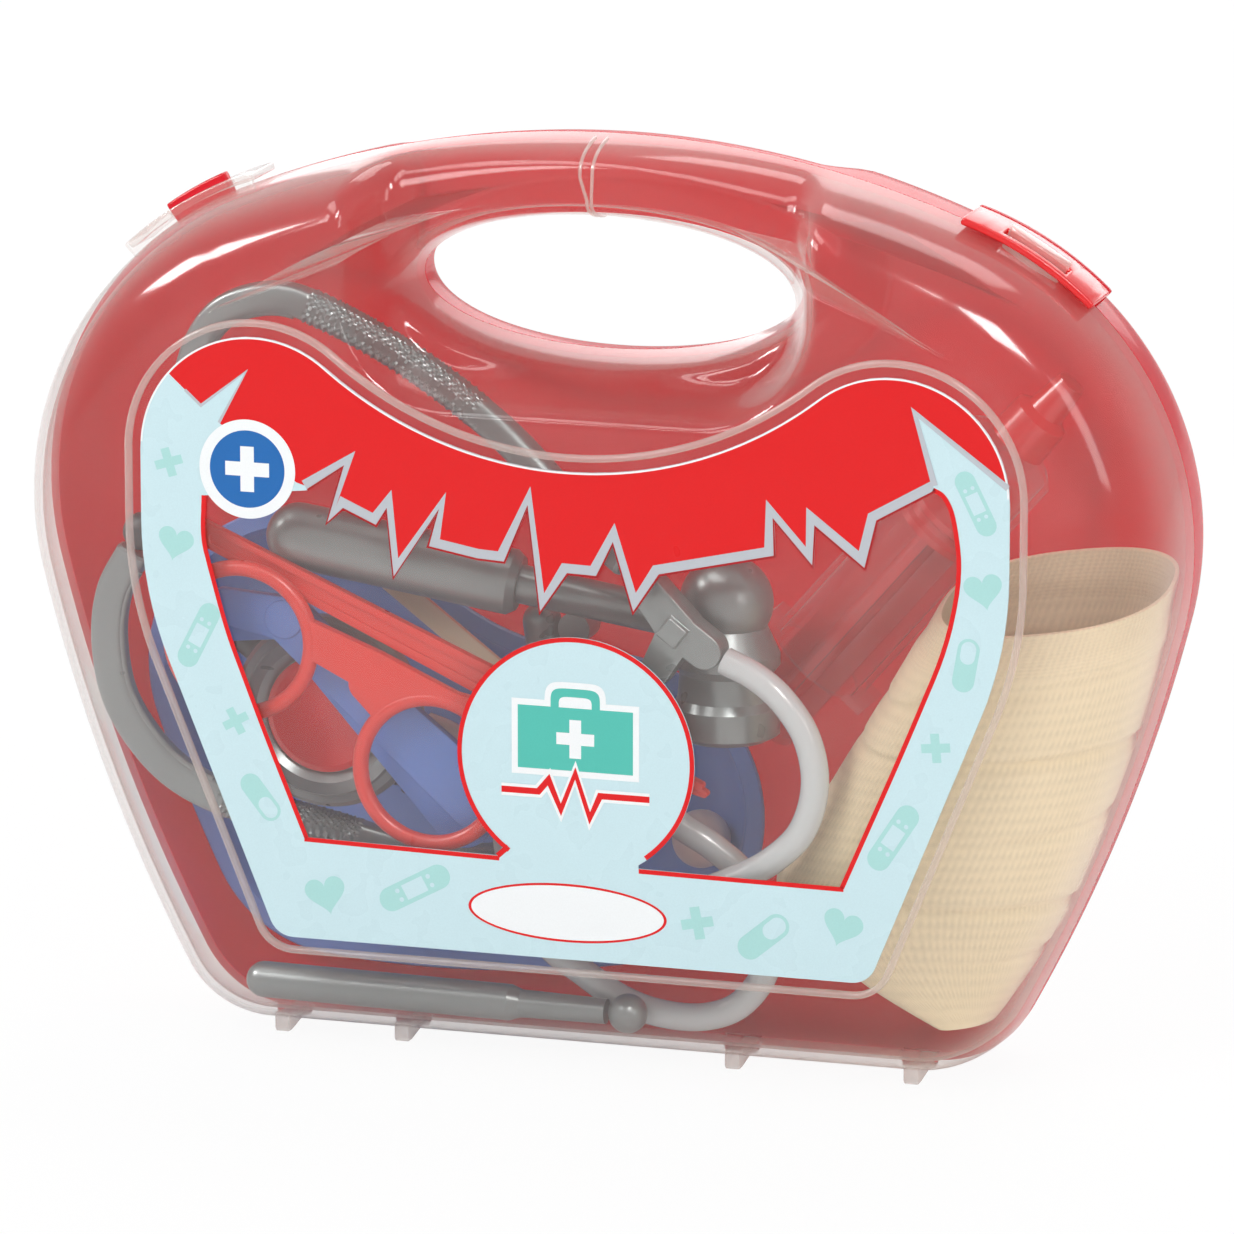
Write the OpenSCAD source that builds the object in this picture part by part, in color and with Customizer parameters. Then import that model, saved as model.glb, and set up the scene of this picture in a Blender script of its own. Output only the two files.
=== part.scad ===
// Toy doctor case: two half shells that hinge at the bottom and clip together
// at the shoulders, with a printed window card and a set of play instruments.
// Millimetres. X is the width, Y the depth with the clear front shell at -Y,
// and Z up from the surface that the case stands on. The parting plane of the
// two shells is Y = 0.

/* [Case] */
// Width of the case at its widest
case_w = 280; // [266:1:300]
// Height of the shells from the flat bottom to the top of the handle
case_h = 216.5; // [208:0.5:230]
// Depth of one half shell, from the parting plane to its flat face
shell_d = 33; // [31:0.5:40]
// Wall thickness of both shells
wall = 2; // [1.6:0.1:2.4]
// Height of the widest point above the flat bottom
widest_z = 126; // [120:1:132]
// Radius of the upper corners
corner_r = 78; // [70:1:82]
// Radius of the long side curves
side_r = 400; // [340:10:600]
// Radius of the bottom corners
foot_r = 26; // [22:1:30]
// Half the length of the flat bottom
flat_half = 79; // [72:1:84]
// Inset over which the outer edge is rounded
edge_round = 22; // [18:0.5:24]
// Draft of the side walls, as inset over depth
draft = 0.08; // [0.04:0.01:0.1]

/* [Handle] */
// Length of the hand hole
hole_w = 92; // [84:1:100]
// Height of the hand hole
hole_h = 32; // [28:1:36]
// Thickness of the grip above the hand hole
grip_t = 19; // [17:0.5:24]
// Depth of one half of the grip
grip_d = 17; // [14:0.5:20]
// Distance over which the grip swells into the body
shoulder = 10; // [8:1:14]

/* [Panel and card] */
// Half the width of the raised panel outline
panel_half = 109; // [104:1:112]
// Height of the panel's bottom edge above the flat bottom
panel_z = 22.7; // [21:0.5:28]
// Width of the raised line round the panel
ridge_w = 1.6; // [1:0.1:2.4]
// Height of the raised line above the face
ridge_h = 1.2; // [0.6:0.1:2]
// Thickness of the printed card
card_t = 0.5; // [0.3:0.1:0.8]
// Margin between the raised line and the card
card_margin = 2.4; // [2:0.1:5]
// Radius of the round field in the middle of the card
disc_r = 28.8; // [24:0.2:31]

/* [Hinge and latches] */
// Height of the hinge axis above the surface
axis_h = 2; // [2:0.1:2.2]
// Radius of the moulded hinge pins
pin_r = 1.1; // [0.9:0.05:1.2]
// Running clearance between a pin and its eye
pin_clear = 0.08; // [0.05:0.01:0.1]
// Radius of a hinge eye
eye_r = 1.9; // [1.7:0.05:1.95]
// Thickness of a hinge rib
rib_t = 3.6; // [3:0.1:4.5]
// How far a rib runs from the hinge towards the face
rib_len = 15.5; // [14:0.5:18]
// Length of a latch tab along the edge
tab_len = 36; // [30:1:40]
// Thickness of a latch tab
tab_t = 1.8; // [1.4:0.1:2.2]
// Length of the catch that fills the tab's window
catch_len = 15.8; // [12:0.2:20]

/* [Instruments] */
// Diameter of the stethoscope tube
hose_d = 6.6; // [6:0.1:6.8]
// Diameter of the headset arms
arm_d = 7; // [6:0.2:7.4]
// Diameter of the chest piece
chest_d = 46; // [40:1:48]
// Diameter of the hammer grip
grip_dia = 15.6; // [13:0.2:16]
// Diameter of the syringe barrel
barrel_d = 26; // [22:0.5:26.5]
// Depth of the kidney dish
dish_d = 17; // [14:0.5:18]
// Diameter of the thermometer body
thermo_d = 8.6; // [7:0.2:9]

/* [Hidden] */
$fn = 64;
part_gap = 0.15;

// ---------- small helpers ----------
function unit(v) = v / norm(v);
function mix(a, b, t) = a + (b - a) * t;
function clamp01(t) = max(0, min(1, t));
function smooth(t) = let (s = clamp01(t)) s * s * (3 - 2 * s);
// One of the two points where circles (a, ra) and (b, rb) meet
function meet(a, ra, b, rb, side) =
    let (d = norm(b - a), u = (b - a) / d, k = (d * d + ra * ra - rb * rb) / (2 * d),
         h = sqrt(ra * ra - k * k))
    a + k * u + side * h * [-u.y, u.x];
function heading(a, b) = atan2(b.y - a.y, b.x - a.x);
// Stations on an arc: centre, radius and direction, without the last one
function arc_stations(c, r, a0, a1, n) =
    [for (i = [0:n - 1]) [c.x, c.y, r, mix(a0, a1, i / n)]];
function mirrored(stations) =
    [for (i = [len(stations) - 1:-1:1]) let (s = stations[i]) [-s[0], s[1], s[2], 180 - s[3]]];
function at(s, d) = [s[0], s[1]] + (s[2] - d) * [cos(s[3]), sin(s[3])];

// ---------- outline of the shells ----------
corner_c = [case_w / 2 - corner_r, widest_z];
foot_c = [flat_half, foot_r];
side_c = meet(corner_c, side_r - corner_r, foot_c, side_r - foot_r, -1);
crown_drop = case_h - widest_z;
crown_r = (corner_c.x * corner_c.x + crown_drop * crown_drop - corner_r * corner_r)
    / (2 * (crown_drop - corner_r));
crown_c = [0, case_h - crown_r];
a_foot = heading(side_c, foot_c);
a_side = heading(side_c, corner_c);
a_crown = heading(crown_c, corner_c);
half_rim = concat(
    [for (i = [0:4]) [flat_half * i / 5, foot_r, foot_r, -90]],
    arc_stations(foot_c, foot_r, -90, a_foot, 5),
    arc_stations(side_c, side_r, a_foot, a_side, 6),
    arc_stations(corner_c, corner_r, a_side, a_crown, 12),
    arc_stations(crown_c, crown_r, a_crown, 90, 7));
rim = concat(half_rim, [[crown_c.x, crown_c.y, crown_r, 90]], mirrored(half_rim));

// ---------- hand hole ----------
hole_a = hole_w / 2;
hole_b = hole_h / 2;
hole_z = case_h - grip_t - hole_b;
lip = 6;
function hole_angle(p) =
    atan2((p.y - hole_z) / (p.y > hole_z ? case_h - hole_z : hole_z), p.x / (case_w / 2));
function hole_point(t, e) =
    [hole_a * cos(t), hole_z + hole_b * sin(t)]
    + e * unit([cos(t) / hole_a, sin(t) / hole_b]);

// Depth of the face: shallow over the grip, full over the body
function off_grip(p) =
    let (sx = max(abs(p.x) - (hole_a - hole_b), 0), sz = max(hole_z - p.y, 0))
    norm([sx, sz]);
function face_d(p, back) =
    mix(grip_d, shell_d, smooth((off_grip(p) - back - hole_b - lip / 3) / shoulder));

// Edge profile, from the parting plane (k = 0) to the face (k = 1)
round_n = 2.6;
function prof_v(k) = pow(max(0, sin(90 * k)), 2 / round_n);
function prof_e(k, w) =
    draft * grip_d * prof_v(k)
    + (w - draft * grip_d) * (1 - pow(max(0, cos(90 * k)), 2 / round_n));
edge_steps = 5;
flat_steps = 5;

// Rings of one skin of a half shell, inset t from the outer skin
function span_at(s) =
    let (p0 = at(s, 0)) norm(p0 - hole_point(hole_angle(p0), 0));
function skin_edge(k, t, outer) = [for (s = rim)
    let (a = hole_angle(at(s, 0)),
         w = min(outer ? edge_round : lip, 0.4 * span_at(s)),
         e = t + prof_e(k, w - t),
         p = outer ? at(s, e) : hole_point(a, e),
         d = face_d(p, 0.6 * t) - t)
    [p.x, -part_gap - d * prof_v(k), p.y]];
function skin_flat(i, t) = [for (s = rim)
    let (a = hole_angle(at(s, 0)),
         q0 = hole_point(a, min(lip, 0.4 * span_at(s))),
         q1 = at(s, min(edge_round, 0.4 * span_at(s))),
         run = norm(q1 - q0),
         p = mix(q0, q1, min(i / flat_steps * 1.2 * shoulder / run, i / (flat_steps + 1))))
    [p.x, -part_gap - face_d(p, 0.6 * t) + t, p.y]];
function skin(t) = concat(
    [for (i = [0:edge_steps]) skin_edge(i / edge_steps, t, false)],
    [for (i = [1:flat_steps]) skin_flat(i, t)],
    [for (i = [edge_steps:-1:0]) skin_edge(i / edge_steps, t, true)]);
function reversed(v) = [for (i = [len(v) - 1:-1:0]) v[i]];

// A closed band of rings, each joined to the next and the last to the first
function band_faces(m, n, closed) = [for (j = [0:(closed ? m - 1 : m - 2)]) for (i = [0:n - 1])
    let (a = j * n + i, b = j * n + (i + 1) % n,
         c = ((j + 1) % m) * n + (i + 1) % n, d = ((j + 1) % m) * n + i)
    each [[a, b, c], [a, c, d]]];
function flat_list(rings) = [for (r = rings) for (p = r) p];
module ring_loop(rings) {
    polyhedron(points = flat_list(rings), faces = band_faces(len(rings), len(rings[0]), true));
}
// A tube of rings with a point in the middle of each end
module ring_tube(rings) {
    m = len(rings);
    n = len(rings[0]);
    function middle(r) = [for (k = [0:2]) sum_of([for (p = r) p[k]]) / n];
    polyhedron(
        points = concat(flat_list(rings), [middle(rings[0]), middle(rings[m - 1])]),
        faces = concat(
            band_faces(m, n, false),
            [for (i = [0:n - 1]) [m * n, (i + 1) % n, i]],
            [for (i = [0:n - 1]) [m * n + 1, (m - 1) * n + i, (m - 1) * n + (i + 1) % n]]));
}
function sum_of(v, i = 0) = i < len(v) ? v[i] + sum_of(v, i + 1) : 0;

// A smooth curve through a list of points, with k steps between neighbours
function bend(p0, p1, p2, p3, t) =
    0.5 * ((2 * p1) + (p2 - p0) * t + (2 * p0 - 5 * p1 + 4 * p2 - p3) * t * t
    + (3 * p1 - p0 - 3 * p2 + p3) * t * t * t);
function curve(pts, k) =
    let (n = len(pts), q = concat([2 * pts[0] - pts[1]], pts, [2 * pts[n - 1] - pts[n - 2]]))
    concat([for (i = [1:n - 1]) for (j = [0:k - 1]) bend(q[i - 1], q[i], q[i + 1], q[i + 2], j / k)],
        [pts[n - 1]]);
function turned(v, axis, ang) =
    v * cos(ang) + cross(axis, v) * sin(ang) + axis * (axis * v) * (1 - cos(ang));
function carried(v, t) = unit(v - t * (v * t));
function frames(tan, i = 0, v = [0, 1, 0.02]) =
    i < len(tan) ? let (w = carried(v, tan[i])) concat([w], frames(tan, i + 1, w)) : [];
function pipe_rings(path, r, sides) =
    let (n = len(path),
         tan = [for (i = [0:n - 1]) unit(path[min(i + 1, n - 1)] - path[max(i - 1, 0)])],
         side = frames(tan))
    [for (i = [0:n - 1]) [for (j = [0:sides - 1])
        path[i] + r * turned(side[i], tan[i], -360 * j / sides)]];
module pipe(pts, r, sides, k) {
    ring_tube(pipe_rings(curve(pts, k), r, sides));
}

// ---------- solid helpers ----------
module lift() {
    translate([0, 0, axis_h]) children();
}
// A flat piece drawn in the XZ plane, from y0 to y1
module slab(y0, y1) {
    translate([0, y1, 0]) rotate([90, 0, 0]) linear_extrude(y1 - y0) children();
}
module dot(p, r) {
    translate(p) circle(r);
}
// A flat bar with two round ends: from, to, radius at each, and its depth
module bar(y0, y1, a, b, ra, rb) {
    k = acos((ra - rb) / norm(b - a));
    h = heading(a, b);
    function corner(p, r, t) = p + 0.996 * r * [cos(h + t), sin(h + t)];
    slab(y0, y1) dot(a, ra);
    slab(y0, y1) dot(b, rb);
    slab(y0, y1)
        polygon([corner(a, ra, k + 5), corner(b, rb, k - 5), corner(b, rb, 5 - k), corner(a, ra, -k - 5)]);
}
// Places children along the line from a to b, with Z towards b
module along(a, b) {
    v = b - a;
    translate(a) rotate([0, acos(v.z / norm(v)), atan2(v.y, v.x)]) children();
}
module rod(a, b, ra, rb) {
    along(a, b) cylinder(h = norm(b - a), r1 = ra, r2 = rb);
}
module ball(p, r) {
    translate(p) sphere(r);
}
module ring_xz(c, r, stock, y) {
    translate([c.x, y, c.y]) rotate([90, 0, 0]) rotate_extrude() translate([r, 0]) circle(stock / 2);
}

// ---------- panel outline on both faces ----------
lobe_r = 32;
lobe_c = [panel_half - lobe_r, 142];
flank_r = 93;
flank_c = [panel_half - flank_r, 125];
flank_a = 22;
dip_z = 147;
dip_r = (lobe_c.x * lobe_c.x + pow(dip_z - lobe_c.y, 2) - lobe_r * lobe_r)
    / (2 * (lobe_r - (dip_z - lobe_c.y)));
dip_c = [0, dip_z + dip_r];
dip_a = heading(dip_c, lobe_c);
base_r = 10;
flank_end = flank_c + flank_r * [cos(flank_a), -sin(flank_a)];
base_c = [flank_end.x - (flank_end.y - panel_z - base_r) * tan(flank_a) - base_r / cos(flank_a),
    panel_z + base_r];
half_panel = concat(
    [[base_c.x / 2, base_c.y, base_r, -90]],
    arc_stations(base_c, base_r, -90, -flank_a, 6),
    [concat(base_c, [base_r, -flank_a])],
    arc_stations(flank_c, flank_r, -flank_a, 0, 8),
    [concat(flank_c, [flank_r, 0])],
    arc_stations(lobe_c, lobe_r, 0, dip_a + 180, 18),
    [for (i = [0:11]) [dip_c.x, dip_c.y, -dip_r, mix(dip_a + 180, 90, i / 12)]]);
panel_line = concat([[0, panel_z + base_r, base_r, -90]], half_panel,
    [[dip_c.x, dip_c.y, -dip_r, 90]],
    [for (i = [len(half_panel) - 1:-1:0]) let (s = half_panel[i]) [-s[0], s[1], s[2], 180 - s[3]]]);
module panel_shape(inset) {
    polygon([for (s = panel_line) at(s, inset)]);
}
module panel_ridge() {
    slab(-part_gap - shell_d - ridge_h, -part_gap - shell_d + wall / 2) difference() {
        panel_shape(0);
        panel_shape(ridge_w);
    }
}

// ---------- hinge ----------
hinge_x = [-77.5, -47.6, 34, 77.5];
ear_step = rib_t + 0.6;
module rib_shape() {
    foot = rib_len - 3;
    polygon([[-foot, -axis_h], [-rib_len, -axis_h], [-rib_len, 2.8], [-12, 2.4], [-8, 1.8],
        [-3.2, 1.5], [-1.5, 1], [-1, -axis_h / foot]]);
    circle(eye_r);
}
module rib(x) {
    translate([x - rib_t / 2, 0, 0]) rotate([90, 0, 90]) linear_extrude(rib_t) rib_shape();
}
module bar_x(x0, x1, r) {
    translate([x0, 0, 0]) rotate([0, 90, 0]) cylinder(h = x1 - x0, r = r);
}
module hinge_notch() {
    for (x = hinge_x) bar_x(x - ear_step - rib_t / 2 - 0.5, x + rib_t / 2 + 0.9, eye_r + 0.5);
}

// ---------- latches ----------
latch_a = 59.4;
tab_gap = 1.2;
tab_front = -6;
tab_back = 9;
tab_half = tab_len / 2 / (corner_r + tab_gap) * 180 / PI;
catch_half = catch_len / 2 / (corner_r + tab_gap) * 180 / PI;
// An arc piece over the right shoulder: radii, angles and depths
module shoulder_band(r0, r1, half, y0, y1) {
    translate([corner_c.x, 0, corner_c.y]) rotate([90, 0, 0]) rotate([0, 0, latch_a - half])
        rotate_extrude(angle = 2 * half) translate([corner_r + r0, -y1]) square([r1 - r0, y1 - y0]);
}
module tab() {
    difference() {
        shoulder_band(tab_gap, tab_gap + tab_t, tab_half, tab_front, tab_back);
        shoulder_band(tab_gap - 1, tab_gap + tab_t + 1, catch_half + 0.35, 1.7, 6.3);
    }
}
module tab_root() {
    shoulder_band(-1.2, tab_gap + tab_t, tab_half, tab_front - 2.3, tab_front - 0.3);
}
module catch_lug() {
    shoulder_band(-1.2, tab_gap + tab_t + 0.6, catch_half, 2, 6);
}

// ---------- case ----------
module half_shell() {
    difference() {
        union() {
            ring_loop(concat(skin(0), reversed(skin(wall))));
            panel_ridge();
        }
        hinge_notch();
    }
}
module front_shell() {
    color([0.86, 0.84, 0.82, 0.4]) lift() {
        difference() {
            union() {
                half_shell();
                for (x = hinge_x) rib(x);
            }
            for (x = hinge_x) bar_x(x - rib_t, x + rib_t, pin_r + pin_clear);
        }
        mirror([1, 0, 0]) tab_root();
        mirror([0, 1, 0]) catch_lug();
    }
}
module back_shell() {
    color([0.86, 0.1, 0.12]) lift() {
        mirror([0, 1, 0]) half_shell();
        for (x = hinge_x) {
            mirror([0, 1, 0]) rib(x - ear_step);
            bar_x(x - ear_step, x + rib_t / 2 + 0.4, pin_r);
        }
        mirror([0, 1, 0]) tab_root();
        mirror([1, 0, 0]) catch_lug();
    }
}
module left_latch() {
    color([0.86, 0.84, 0.82, 0.6]) lift() mirror([1, 0, 0]) tab();
}
module right_latch() {
    color([0.86, 0.1, 0.12]) lift() mirror([0, 1, 0]) tab();
}

// ---------- printed card ----------
card_y = -part_gap - shell_d - 0.1 - card_t;
pulse_w = 2.6;
pulse = [[-64.5, 135.6], [-53.6, 142.6], [-58.1, 128.9], [-55.4, 132.1], [-47.4, 128.6],
    [-43.9, 133.5], [-42.3, 117.3], [-30.9, 134], [-33, 124], [-22.2, 122.1], [-16.5, 121.8],
    [-9.8, 136.5], [-6.7, 111.4], [-1.1, 120.1], [5.9, 119.9], [10.7, 129.2], [15.7, 113],
    [21, 121.2], [48.2, 127.4], [48.2, 137.3], [57.7, 126.8], [58, 136.2], [70.2, 126.9],
    [72.7, 137.2], [86.9, 145.4]];
badge_c = [-78.6, 138.6];
badge_r = 11.8;
// A line of points moved sideways by d, with its sharp corners held to twice d
function beside(pts, d) = let (m = len(pts) - 1) [for (i = [0:m])
    let (u = unit(pts[min(i + 1, m)] - pts[min(i, m - 1)]),
         v = unit(pts[max(i, 1)] - pts[max(i - 1, 0)]),
         w = unit(u + v))
    pts[i] + d / max(0.5, w * u) * [-w.y, w.x]];
module card_window() {
    polygon(concat(beside(pulse, -pulse_w / 2), [[89.6, 143.4], [91.9, 138.7], [93.7, 125.4],
        [90.5, 108.1], [79.3, 80.6], [65.8, 49.1], [-64.7, 51.1], [-74.3, 74.5], [-83.9, 99.4],
        [-88.1, 114.8], [-89.8, 121.4], [-89.4, 131.6]]));
}
module window_card() {
    color([0.8, 0.9, 0.91]) lift() slab(card_y, card_y + card_t) difference() {
        panel_shape(ridge_w + card_margin);
        difference() {
            card_window();
            dot([1.4, 75.1], disc_r);
            dot(badge_c, badge_r);
            polygon([[-17, 49], [-16, 58], [17, 58], [16.6, 49]]);
        }
    }
}

// ---------- scissors ----------
pivot = [8, 76];
loop_a = [-82.7, 96];
loop_b = [-35.8, 68];
loop_r = 17.4;
lever_y = -27.8;
module scissor_loops() {
    front = lever_y - 1.5;
    back = lever_y + 1.5;
    color([0.85, 0.22, 0.2]) lift() {
        difference() {
            union() {
                bar(front, back, [-66.5, 98.2], [-50, 91], 4.2, 5);
                bar(front, back, [-50, 91], [-30, 84.6], 5, 2.7);
                bar(front, back, [-51, 88], [-45.5, 81.5], 4.6, 4);
                bar(front, back, [-30, 84.6], pivot, 2.7, 3.6);
                bar(front, back, pivot, [30, 69.4], 3.6, 0.8);
            }
            for (c = [loop_a, loop_b]) slab(front - 1, back + 1) dot(c, loop_r);
        }
        for (c = [loop_a, loop_b]) ring_xz(c, loop_r, 3.8, lever_y);
        slab(back - 0.5, lever_y + 5.3) dot(pivot, 2);
        slab(lever_y + 5.2, lever_y + 6) dot(pivot, 2.8);
    }
}
module scissor_bar() {
    color([0.85, 0.22, 0.2]) lift() difference() {
        union() {
            bar(lever_y + 2.3, lever_y + 4.9, [-94, 121.1], pivot, 2.8, 4.2);
            bar(lever_y + 2.3, lever_y + 4.9, pivot, [30, 66.6], 4.2, 0.8);
        }
        bar(lever_y + 2, lever_y + 3.1, [-90, 119.4], [-6, 82.2], 1.3, 1.6);
        slab(lever_y, lever_y + 6) dot(pivot, 2 + pin_clear);
    }
}

// ---------- reflex hammer ----------
handle_a = [-72, -16.2, 119.4];
handle_b = [30, -7.4, 102.1];
module hammer_handle() {
    len = norm(handle_b - handle_a);
    r = grip_dia / 2;
    color([0.5, 0.52, 0.52]) lift() {
        along(handle_a, handle_b) rotate_extrude() polygon([[0, 0], [r, 0], [r, 0.5 * len],
            [r - 1.4, 0.5 * len + 2], [4.6, 0.5 * len + 2], [4.6, 0.878 * len], [0, 0.878 * len]]);
        ball(handle_a, r - 0.01);
    }
}
head_r = 12.6;
module hammer_head() {
    color([0.45, 0.47, 0.47]) lift() translate([handle_b.x, handle_b.y, 0]) difference() {
        union() {
            translate([0, 0, 108.6]) sphere(11);
            rotate_extrude() polygon([[0, 76], [10, 76], [head_r, 77.5], [head_r, 84], [11.4, 86],
                [11, 92], [head_r, 94], [head_r, 96.5], [9.6, 103], [0, 103]]);
        }
        translate([0, 0, 70]) cylinder(h = 16, r = 8.6);
    }
}

// ---------- forceps ----------
boss = [-73.9, 100.4];
jaw_y = -19.4;
module forceps_arm(y0, y1, tip, back) {
    bar(y0, y1, boss, tip, 5.4, 7.4);
    bar(y0, y1, boss, back, 5.4, 4.2);
}
module forceps_front() {
    color([0.36, 0.46, 0.72]) lift() {
        forceps_arm(jaw_y - 3, jaw_y - 0.4, [-27, 60.5], [-89.2, 102.6]);
        slab(jaw_y - 1, jaw_y + 2.7) dot(boss, 2.4);
        slab(jaw_y - 3.4, jaw_y - 2.5) dot(boss, 4.6);
    }
}
module forceps_rear() {
    color([0.36, 0.46, 0.72]) lift() difference() {
        forceps_arm(jaw_y, jaw_y + 2.4, [-31, 55], [-90, 97.5]);
        slab(jaw_y - 1, jaw_y + 4) dot(boss, 2.4 + pin_clear);
    }
}

// ---------- stethoscope ----------
chest_c = [-66.4, 76.5];
chest_y = -16.2;
module turned_y(c, y) {
    translate([c.x, y, c.y]) rotate([-90, 0, 0]) rotate_extrude() children();
}
module chest_body() {
    color([0.5, 0.52, 0.53]) lift() difference() {
        turned_y(chest_c, chest_y) polygon([[0, 11], [15, 11], [19, 9.6], [19.6, 7.4], [chest_d / 2, 6.4],
            [chest_d / 2, 3], [21.8, 1.4], [20, 1], [19.4, 0], [16.6, 0], [14.4, 1.6], [0, 1.6]]);
        rod([-40, chest_y + 5, 74], [-52, chest_y + 5, 75], 2, 2);
    }
}
module chest_disc() {
    color([0.84, 0.12, 0.14]) lift() turned_y(chest_c, chest_y)
        polygon([[0, -0.4], [12.6, -0.2], [14, 0.4], [14, 1.4], [0, 1.4]]);
}
yoke_y = -24;
module yoke() {
    color([0.5, 0.52, 0.53]) lift() {
        bar(yoke_y - 3.6, yoke_y + 3.6, [24, 105.4], [15.6, 115.6], 4.8, 3.8);
        bar(yoke_y - 3.6, yoke_y + 3.6, [24, 105.4], [18.4, 95.4], 4.6, 3.6);
        bar(yoke_y - 3.6, yoke_y + 3.6, [24, 105.4], [30.4, 101], 4.4, 4.2);
        translate([23.2, yoke_y - 4.1, 105.4]) rotate([0, 38, 0]) cube([5.4, 2.4, 5.4], center = true);
    }
}
hose_path = [[34.6, -24, 98.6], [42, -24.6, 95.5], [49, -25.6, 90.5], [55, -26, 82], [57, -26, 71],
    [54, -26, 60], [47, -26, 52.5], [38, -25, 47], [27, -24, 42.5], [14, -23, 41], [4, -20, 45],
    [0, -17, 54], [5, -16, 62], [14, -16, 62], [22, -16, 56], [29, -16, 52], [37, -15, 45],
    [42, -13, 34], [41, -11, 22], [35, -11, 13], [26, -11, 9], [15, -11, 9], [5, -11, 12],
    [-4, -11, 17.5], [-12, -11, 23], [-19, -11, 32], [-22, -11, 43], [-24, -11, 55], [-29, -11, 66],
    [-36, -11, 72], [-42.6, -11, 74.4]];
module hose() {
    color([0.9, 0.9, 0.88]) lift() pipe(hose_path, hose_d / 2, 10, 2);
}
upper_path = [[-106, 1, 149], [-102, 1, 161], [-95.3, 1, 169], [-84, 1, 172.4], [-72.7, 1, 170],
    [-50, 0, 159.5], [-27, -3, 145], [-8, -11, 131], [5, -19, 123], [11, -23, 120]];
lower_path = [[-116.7, -6, 110.6], [-122, -6, 100.4], [-123.4, -6, 88], [-120.6, -6, 74],
    [-111.8, -6, 61.4], [-101, -6, 54], [-86, -6, 49.6], [-70, -6, 46.5], [-50, -3, 41.5],
    [-30, 1, 39.5], [-10, 1, 47], [4, -4, 62], [9.6, -12, 76], [13.6, -19.8, 87], [15, -22.5, 89.6]];
module upper_arm() {
    color([0.5, 0.52, 0.53]) lift() pipe(upper_path, arm_d / 2, 12, 3);
}
module lower_arm() {
    color([0.5, 0.52, 0.53]) lift() pipe(lower_path, arm_d / 2, 12, 3);
}
module upper_ear_tip() {
    color([0.4, 0.42, 0.43]) lift() {
        ball([-107.2, 1, 144], 4.6);
    }
}
module lower_ear_tip() {
    color([0.4, 0.42, 0.43]) lift() {
        ball([-114.9, -6, 115.3], 4.6);
    }
}

// ---------- syringe ----------
tail_p = [45, 17.6, 89.7];
nose_p = [91.5, 17.6, 143.7];
syr_len = norm(nose_p - tail_p);
barrel_r = barrel_d / 2;
bore_r = barrel_r - 1.6;
module syringe_barrel() {
    color([0.9, 0.88, 0.88, 0.4]) lift() along(tail_p, nose_p) difference() {
        union() {
            rotate_extrude() polygon([[0, 0], [barrel_r, 0], [barrel_r, syr_len - 2],
                [barrel_r - 2, syr_len], [4, syr_len + 1.6], [4, syr_len + 9], [0, syr_len + 9]]);
            translate([-16, -8, 0]) cube([32, 16, 2]);
        }
        translate([0, 0, -1]) cylinder(h = syr_len - 0.8, r = bore_r);
        translate([0, 0, syr_len - 3]) cylinder(h = 14, r = 1.6);
    }
}
module syringe_cap() {
    color([0.82, 0.1, 0.14]) lift() along(tail_p, nose_p) difference() {
        rotate_extrude() polygon([[0, syr_len + 2.2], [7.4, syr_len + 2.2], [7, syr_len + 11],
            [4.6, syr_len + 12.6], [3.4, syr_len + 22], [0, syr_len + 22]]);
        translate([0, 0, syr_len]) cylinder(h = 9.4, r = 4.05);
    }
}
piston_z = 44;
module syringe_plunger() {
    color([0.82, 0.1, 0.14]) lift() along(tail_p, nose_p) {
        rotate_extrude() polygon([[0, -20], [8.4, -20], [8.4, -17.8], [3, -17], [3, piston_z],
            [bore_r - 0.08, piston_z], [bore_r - 0.08, piston_z + 1.6], [bore_r - 1.4, piston_z + 2.4],
            [bore_r - 1.4, piston_z + 4], [bore_r - 0.08, piston_z + 4.8],
            [bore_r - 0.08, piston_z + 6.4], [0, piston_z + 8]]);
        for (a = [0, 90]) rotate([0, 0, a]) translate([-8, -1, -18]) cube([16, 2, 18.4 + piston_z]);
    }
}

// ---------- pen torch ----------
pen_a = [-92, 0, 91.8];
pen_b = [-36.6, 0, 49.4];
pen_len = norm(pen_b - pen_a);
module torch_body() {
    color([0.2, 0.21, 0.22]) lift() along(pen_a, pen_b) rotate_extrude() polygon(concat(
        [[0, 0], [3.6, 0], [4.8, 1.4]],
        [for (i = [0:5]) each [[4.8, pen_len - 30 + i * 3], [4.3, pen_len - 29.6 + i * 3],
            [4.3, pen_len - 28.4 + i * 3], [4.8, pen_len - 28 + i * 3]]],
        [[4.8, pen_len - 11], [0, pen_len - 11]]));
}
module torch_tip() {
    color([0.75, 0.72, 0.66]) lift() along(pen_a, pen_b) rotate_extrude() polygon([
        [0, pen_len - 10.7], [4.6, pen_len - 10.7], [1.6, pen_len - 0.6], [0, pen_len]]);
}

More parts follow.
